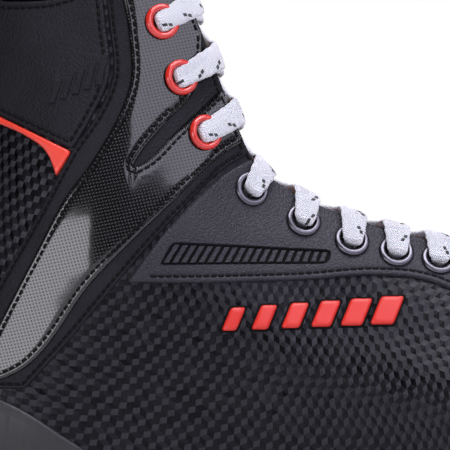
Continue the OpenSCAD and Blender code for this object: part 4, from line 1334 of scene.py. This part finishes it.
def make_collar():
    s = np.linspace(0, COLLAR_END, 70)
    p, n, _, _ = form_frame(s, np.ones(len(s)))
    half = p - 3.2 * n + [0, 0, COLLAR_R + 0.3]
    outer = np.stack([half[:, 0], -half[:, 1], half[:, 2]], -1)[::-1]
    centres = np.concatenate([outer, half[1:]])
    length = run_length(centres)
    run = unit(np.gradient(centres, axis=0))
    across = unit(np.cross([0, 0, 1], run))
    up = np.cross(run, across)
    ends = np.minimum(length, length[-1] - length)
    taper = np.sqrt(np.clip(1 - (1 - np.clip(ends / 4, 0, 1)) ** 2, 0.02, 1))
    pucker = 1 + 0.025 * np.sin(length * 1.35)
    r = (COLLAR_R * taper * pucker)[:, None, None]
    rings = tube_rings(centres, across, up, r, r, 28)
    roll = loft("collar_padding", rings, "leather_fine", slot="leather", replaces=["collar_roll"])


make_collar()


# ---- Throat binding ----
def make_bindings():
    for label, side in SIDES.items():
        s = np.linspace(4.2, 10.85, 240)
        p, n, _, _ = form_frame(s, np.ones(len(s)))
        centre = to_side(side, p - 0.7 * n)
        normal = n * [1, side, 1]
        run = unit(np.gradient(centre, axis=0))
        out = unit(np.cross(run, normal))
        rings = tube_rings(centre, normal, out, 1.55, 0.75, 14)
        loft(f"throat_binding_{label}", rings, "leather_fine", slot="leather")


make_bindings()


# ---- Tongue ----
# Sections from the toe end up: x, z, direction of the face in degrees, half width, drop at the sides and
# thickness.
TONGUE = [
    [70, 117, 76, 25, 14, 5], [56, 124.5, 76, 26, 17, 6], [38, 131, 75, 26, 17, 7],
    [18, 137.3, 73, 25, 16, 7.5],
    [-8, 145.8, 68, 24, 15, 8], [-22, 152, 57, 22, 13, 8], [-34, 161.5, 44, 20.5, 11, 8],
    [-44, 176, 30, 21.5, 9, 7.5], [-51.5, 193, 23, 22.5, 8.5, 7.5], [-58.5, 212, 20, 23.5, 8.5, 7.5],
    [-65, 231, 18, 24, 8, 8], [-69.5, 246, 16, 24.5, 8, 8.5], [-74, 262, 15, 25.5, 9, 8.5],
    [-76.3, 270, 15, 21.5, 8.5, 7]
]


def keep_inside_lining(points):
    """Moves points of the tongue that would reach into the lining, or the lace under it, back inside."""
    s, t = np.meshgrid(np.linspace(3.7, 13.5, 150), np.linspace(0.3, 1, 60), indexing="ij")
    at, n, _, _ = form_frame(s, t)
    at, n = at.reshape(-1, 3), n.reshape(-1, 3)
    depth = np.where(s > TOE_START, -7, lining_depth(s, t) - 2.6).ravel()
    folded = np.stack([points[:, 0], np.abs(points[:, 1] - centre_y(points[:, 0])), points[:, 2]], -1)
    side = np.where(points[:, 1] >= centre_y(points[:, 0]), 1, -1)
    made = folded.copy()
    for chunk in np.array_split(np.arange(len(points)), 20):
        gap = folded[chunk, None] - at[None]
        near = (gap**2).sum(-1).argmin(1)
        rows = np.arange(len(chunk))
        g = gap[rows, near]
        high = (g * n[near]).sum(1)
        straight = np.abs(high) > 0.6 * np.linalg.norm(g, axis=1)
        push = np.where(straight, np.minimum(0, depth[near] - high), 0)
        made[chunk] = folded[chunk] + push[:, None] * n[near]
    made[:, 1] = np.maximum(made[:, 1], 0)
    return np.stack([made[:, 0], side * made[:, 1] + centre_y(made[:, 0]), made[:, 2]], -1)


def tongue_ring(row, at, total):
    """One closed section of the tongue, at a distance along its total length: crowned, with sewn channels."""
    x, z, direction, half, drop, thick = row
    u = np.sin(np.linspace(-math.pi / 2, math.pi / 2, 41))
    n = np.array([math.cos(math.radians(direction)), 0, math.sin(math.radians(direction))])
    end = min(at, total - at)
    crown = math.sqrt(max(0.02, 1 - (1 - min(1, end / 4)) ** 2))
    channel = 0.75 * math.exp(-(((at % 17) - 8.5) / 0.9) ** 2)
    round_off = np.sqrt(np.maximum(0, 1 - np.abs(u) ** 6))
    puff = crown * (0.5 * thick * round_off * (1 - 0.25 * u * u))
    front = thick / 2 - puff + channel * round_off * crown * (np.abs(u) < 0.86)
    back = thick / 2 + puff
    spread = np.array([x, 0, z]) + (u * half * (0.94 + 0.06 * crown))[:, None] * [0, 1, 0]
    lines = [spread - (drop * u**2 + offset)[:, None] * n for offset in (front, back)]
    return np.concatenate([lines[0], lines[1][::-1][1:-1]])


def make_tongue():
    rows = spline(TONGUE, 12)
    length = run_length(rows[:, :2])
    rings = [tongue_ring(row, at, length[-1]) for row, at in zip(rows, length)]
    rings = np.array(rings)
    shape = rings.shape
    flat = keep_inside_lining(rings.reshape(-1, 3)).reshape(shape)
    tongue = loft("tongue_soft", flat, "felt", body=None, slot="felt", replaces=["tongue", "tongue_top"])
    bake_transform(tongue)


make_tongue()


# ---- Tendon guard ----
GUARD_X, GUARD_Z, GUARD_H = -115, 233.2, 37


def guard_grid(angles, v, inset):
    """Points of the guard at angles round its back and heights v from 0 to 1, inset from its outer face."""
    a, v = np.meshgrid(np.radians(angles), v, indexing="ij")
    low = GUARD_Z - 5.5 * (1 - np.cos(a))
    high = GUARD_Z + GUARD_H - 21 * (1 - np.cos(a))
    width, reach = 29 - 6 * v * v - inset, 19.8 - inset
    return np.stack([GUARD_X - v * 5 - reach * np.cos(a), width * np.sin(a), low + (high - low) * v], -1)


def make_guard_layer(name, outer, inner, low_v, high_v, reach, material, crown, **options):
    """A curved pad between two insets, with rounded rims. A crown swells its inner face, and without a crown
    two grooves run across its outer face."""
    na, nv = 90, 44
    angles, v = np.linspace(-reach, reach, na), np.linspace(low_v, high_v, nv)
    ua, uv = np.linspace(-1, 1, na)[:, None], np.linspace(-1, 1, nv)[None, :]
    q = np.minimum(np.clip((1 - np.abs(ua)) / 0.05, 0, 1), np.clip((1 - np.abs(uv)) / 0.1, 0, 1))
    fill = np.sqrt(np.maximum(0.03, 1 - (1 - q) ** 2))
    middle, half = (outer + inner) / 2, (inner - outer) / 2
    grooves = sum(0.45 * np.exp(-(((uv - at) / 0.06) ** 2)) for at in (-0.35, 0.25)) * (not crown)
    front = guard_grid(angles, v, middle - half * fill + grooves)
    back = guard_grid(angles, v, middle + half * fill + crown * (fill - 1))
    n = na * nv
    quads = grid_faces(na, nv)
    index = np.arange(n).reshape(na, nv)
    faces = quads.tolist() + (quads[:, ::-1] + n).tolist()
    for line in (index[0], index[-1], index[:, 0], index[:, -1]):
        faces += rim_faces(line, n)
    points = np.concatenate([front.reshape(-1, 3), back.reshape(-1, 3)])
    return clean(new_piece(name, points, faces, material, body="guard", **options))


make_guard_layer("tendon_guard_shell", 0, 3.4, 0, 1, 95, "guard", 0, slot="guard", replaces=["tendon_guard"])
make_guard_layer(
        "tendon_guard_pad", 3.6, 7.8, 0.02, 0.93, 93, "lining", 0.6, slot="lining", replaces=["tendon_pad"]
    )


# ---- Sole ----
def sole_loop(inset):
    """Outline of the sole seen from above, moved in by about inset."""
    s = np.linspace(0, STATIONS, 110)
    p = form(s, np.zeros(len(s)))
    x, w = p[:, 0] * (1 - inset / 141), p[:, 1] * (1 - inset / 40)
    out = np.stack([x, -w + centre_y(x)], -1)
    back = np.stack([x, w + centre_y(x)], -1)[::-1][1:-1]
    return np.concatenate([out, back])


def sole_plate(name, levels, material, **options):
    """A plate on the sloping sole plane from [inset, height above the plane] levels, closed at both faces."""
    rings = []
    for inset, height in levels:
        loop = sole_loop(inset)
        rings.append(np.stack([loop[:, 0], loop[:, 1], sole_z(loop[:, 0]) + height], -1))
    return loft(name, rings, material, **options)


sole_plate(
    "outsole_plate",
    [[3, -4], [0.9, -4], [0.3, -3.75], [0, -3.2], [0, -0.9], [0.3, -0.3], [0.9, -0.1], [3, -0.1]],
    "rand", slot="outsole", replaces=["outsole"],
)
sole_plate(
    "lasting_board_plate", [[8, 0.05], [7.2, 0.15], [7, 0.4], [7, 0.95], [7.3, 1.2], [8, 1.25]], "board",
    slot="board", replaces=["lasting_board"],
)
sole_plate(
        "footbed_pad",
        [[11, 2.2], [9.8, 2.4], [9.5, 3.2], [9.6, 5.4], [10.4, 6.1], [12, 6.3], [20, 5.8], [30, 5.6]],
        "footbed", slot="footbed", replaces=["footbed"],
    )


# ---- Carried-over CAD nodes: material and bevel width ----
FINISHES = {
    "holder": ("holder", 0.7),
    "runner": ("steel", 0.15),
    "runner_bolts": ("bolt", 0.25),
    "runner_nuts": ("bolt", 0.25),
    "rivets_front": ("rivet", 0.2),
    "rivets_rear": ("rivet", 0.2),
}


def dress(node, material, bevel):
    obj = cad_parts[node]
    obj.data.materials.clear()
    obj.data.materials.append(MATERIALS[material])
    mod = obj.modifiers.new("rounded_edges", "BEVEL")
    mod.width = bevel * MM
    mod.segments = 2
    mod.limit_method = "ANGLE"
    mod.angle_limit = math.radians(35)


for node, (material, bevel) in FINISHES.items():
    dress(node, material, bevel)


# ---- Studio ----
def make_world():
    """White behind the object for the camera, and a soft grey dome for its light."""
    world = bpy.data.worlds.new("studio")
    scene.world = world
    world.use_nodes = True
    tree = world.node_tree
    tree.nodes.clear()
    add = tree.nodes.new
    out, mix, rays = add("ShaderNodeOutputWorld"), add("ShaderNodeMixShader"), add("ShaderNodeLightPath")
    seen, light = add("ShaderNodeBackground"), add("ShaderNodeBackground")
    seen.inputs["Color"].default_value = (1, 1, 1, 1)
    light.inputs["Color"].default_value = (0.93, 0.92, 1.0, 1)
    light.inputs["Strength"].default_value = 0.08
    tree.links.new(rays.outputs["Is Camera Ray"], mix.inputs[0])
    tree.links.new(light.outputs[0], mix.inputs[1])
    tree.links.new(seen.outputs[0], mix.inputs[2])
    tree.links.new(mix.outputs[0], out.inputs[0])


AIM = Vector((-0.06, -0.03, 0.14))


def softbox(name, azimuth, elevation, reach, size, radiance, colour=(0.95, 0.94, 1.0)):
    """Rectangular light that faces the boot. Azimuth 0 is the outer side and 90 the toe, in degrees."""
    data = bpy.data.lights.new(name, "AREA")
    data.shape = "RECTANGLE"
    data.size, data.size_y = size
    data.energy = radiance * math.pi * size[0] * size[1]
    data.color = colour
    obj = bpy.data.objects.new(name, data)
    scene.collection.objects.link(obj)
    a, e = math.radians(azimuth), math.radians(elevation)
    away = Vector((math.sin(a) * math.cos(e), -math.cos(a) * math.cos(e), math.sin(e)))
    obj.location = AIM + reach * away
    obj.rotation_euler = (-away).to_track_quat("-Z", "Y").to_euler()


def make_floor():
    """A plain round floor just under the runner."""
    around, radius, level = 96, 3000, -0.3
    points = [[0, 0, level]] + [[radius * math.cos(a), radius * math.sin(a), level] for a in turn(around)]
    faces = [[0, 1 + k, 1 + (k + 1) % around] for k in range(around)]
    MATERIALS["floor"] = Shader("floor", (0.8, 0.8, 0.8), 0.7).material
    new_piece("floor", points, faces, "floor", body=None)


make_world()
make_floor()
VIOLET = (0.86, 0.84, 1.0)
softbox("top_light", 20, 70, 1.0, (0.9, 0.5), 10.0)
softbox("left_front_light", -33, 0, 1.2, (0.8, 0.28), 5.6)
softbox("right_front_light", 40, 27, 1.2, (1.62, 0.62), 3.3, VIOLET)
softbox("left_back_light", -140, 20, 1.2, (0.8, 0.5), 3.5)
softbox("right_back_light", 150, 25, 1.2, (0.8, 0.5), 4.0)
scene.view_settings.view_transform = "Standard"
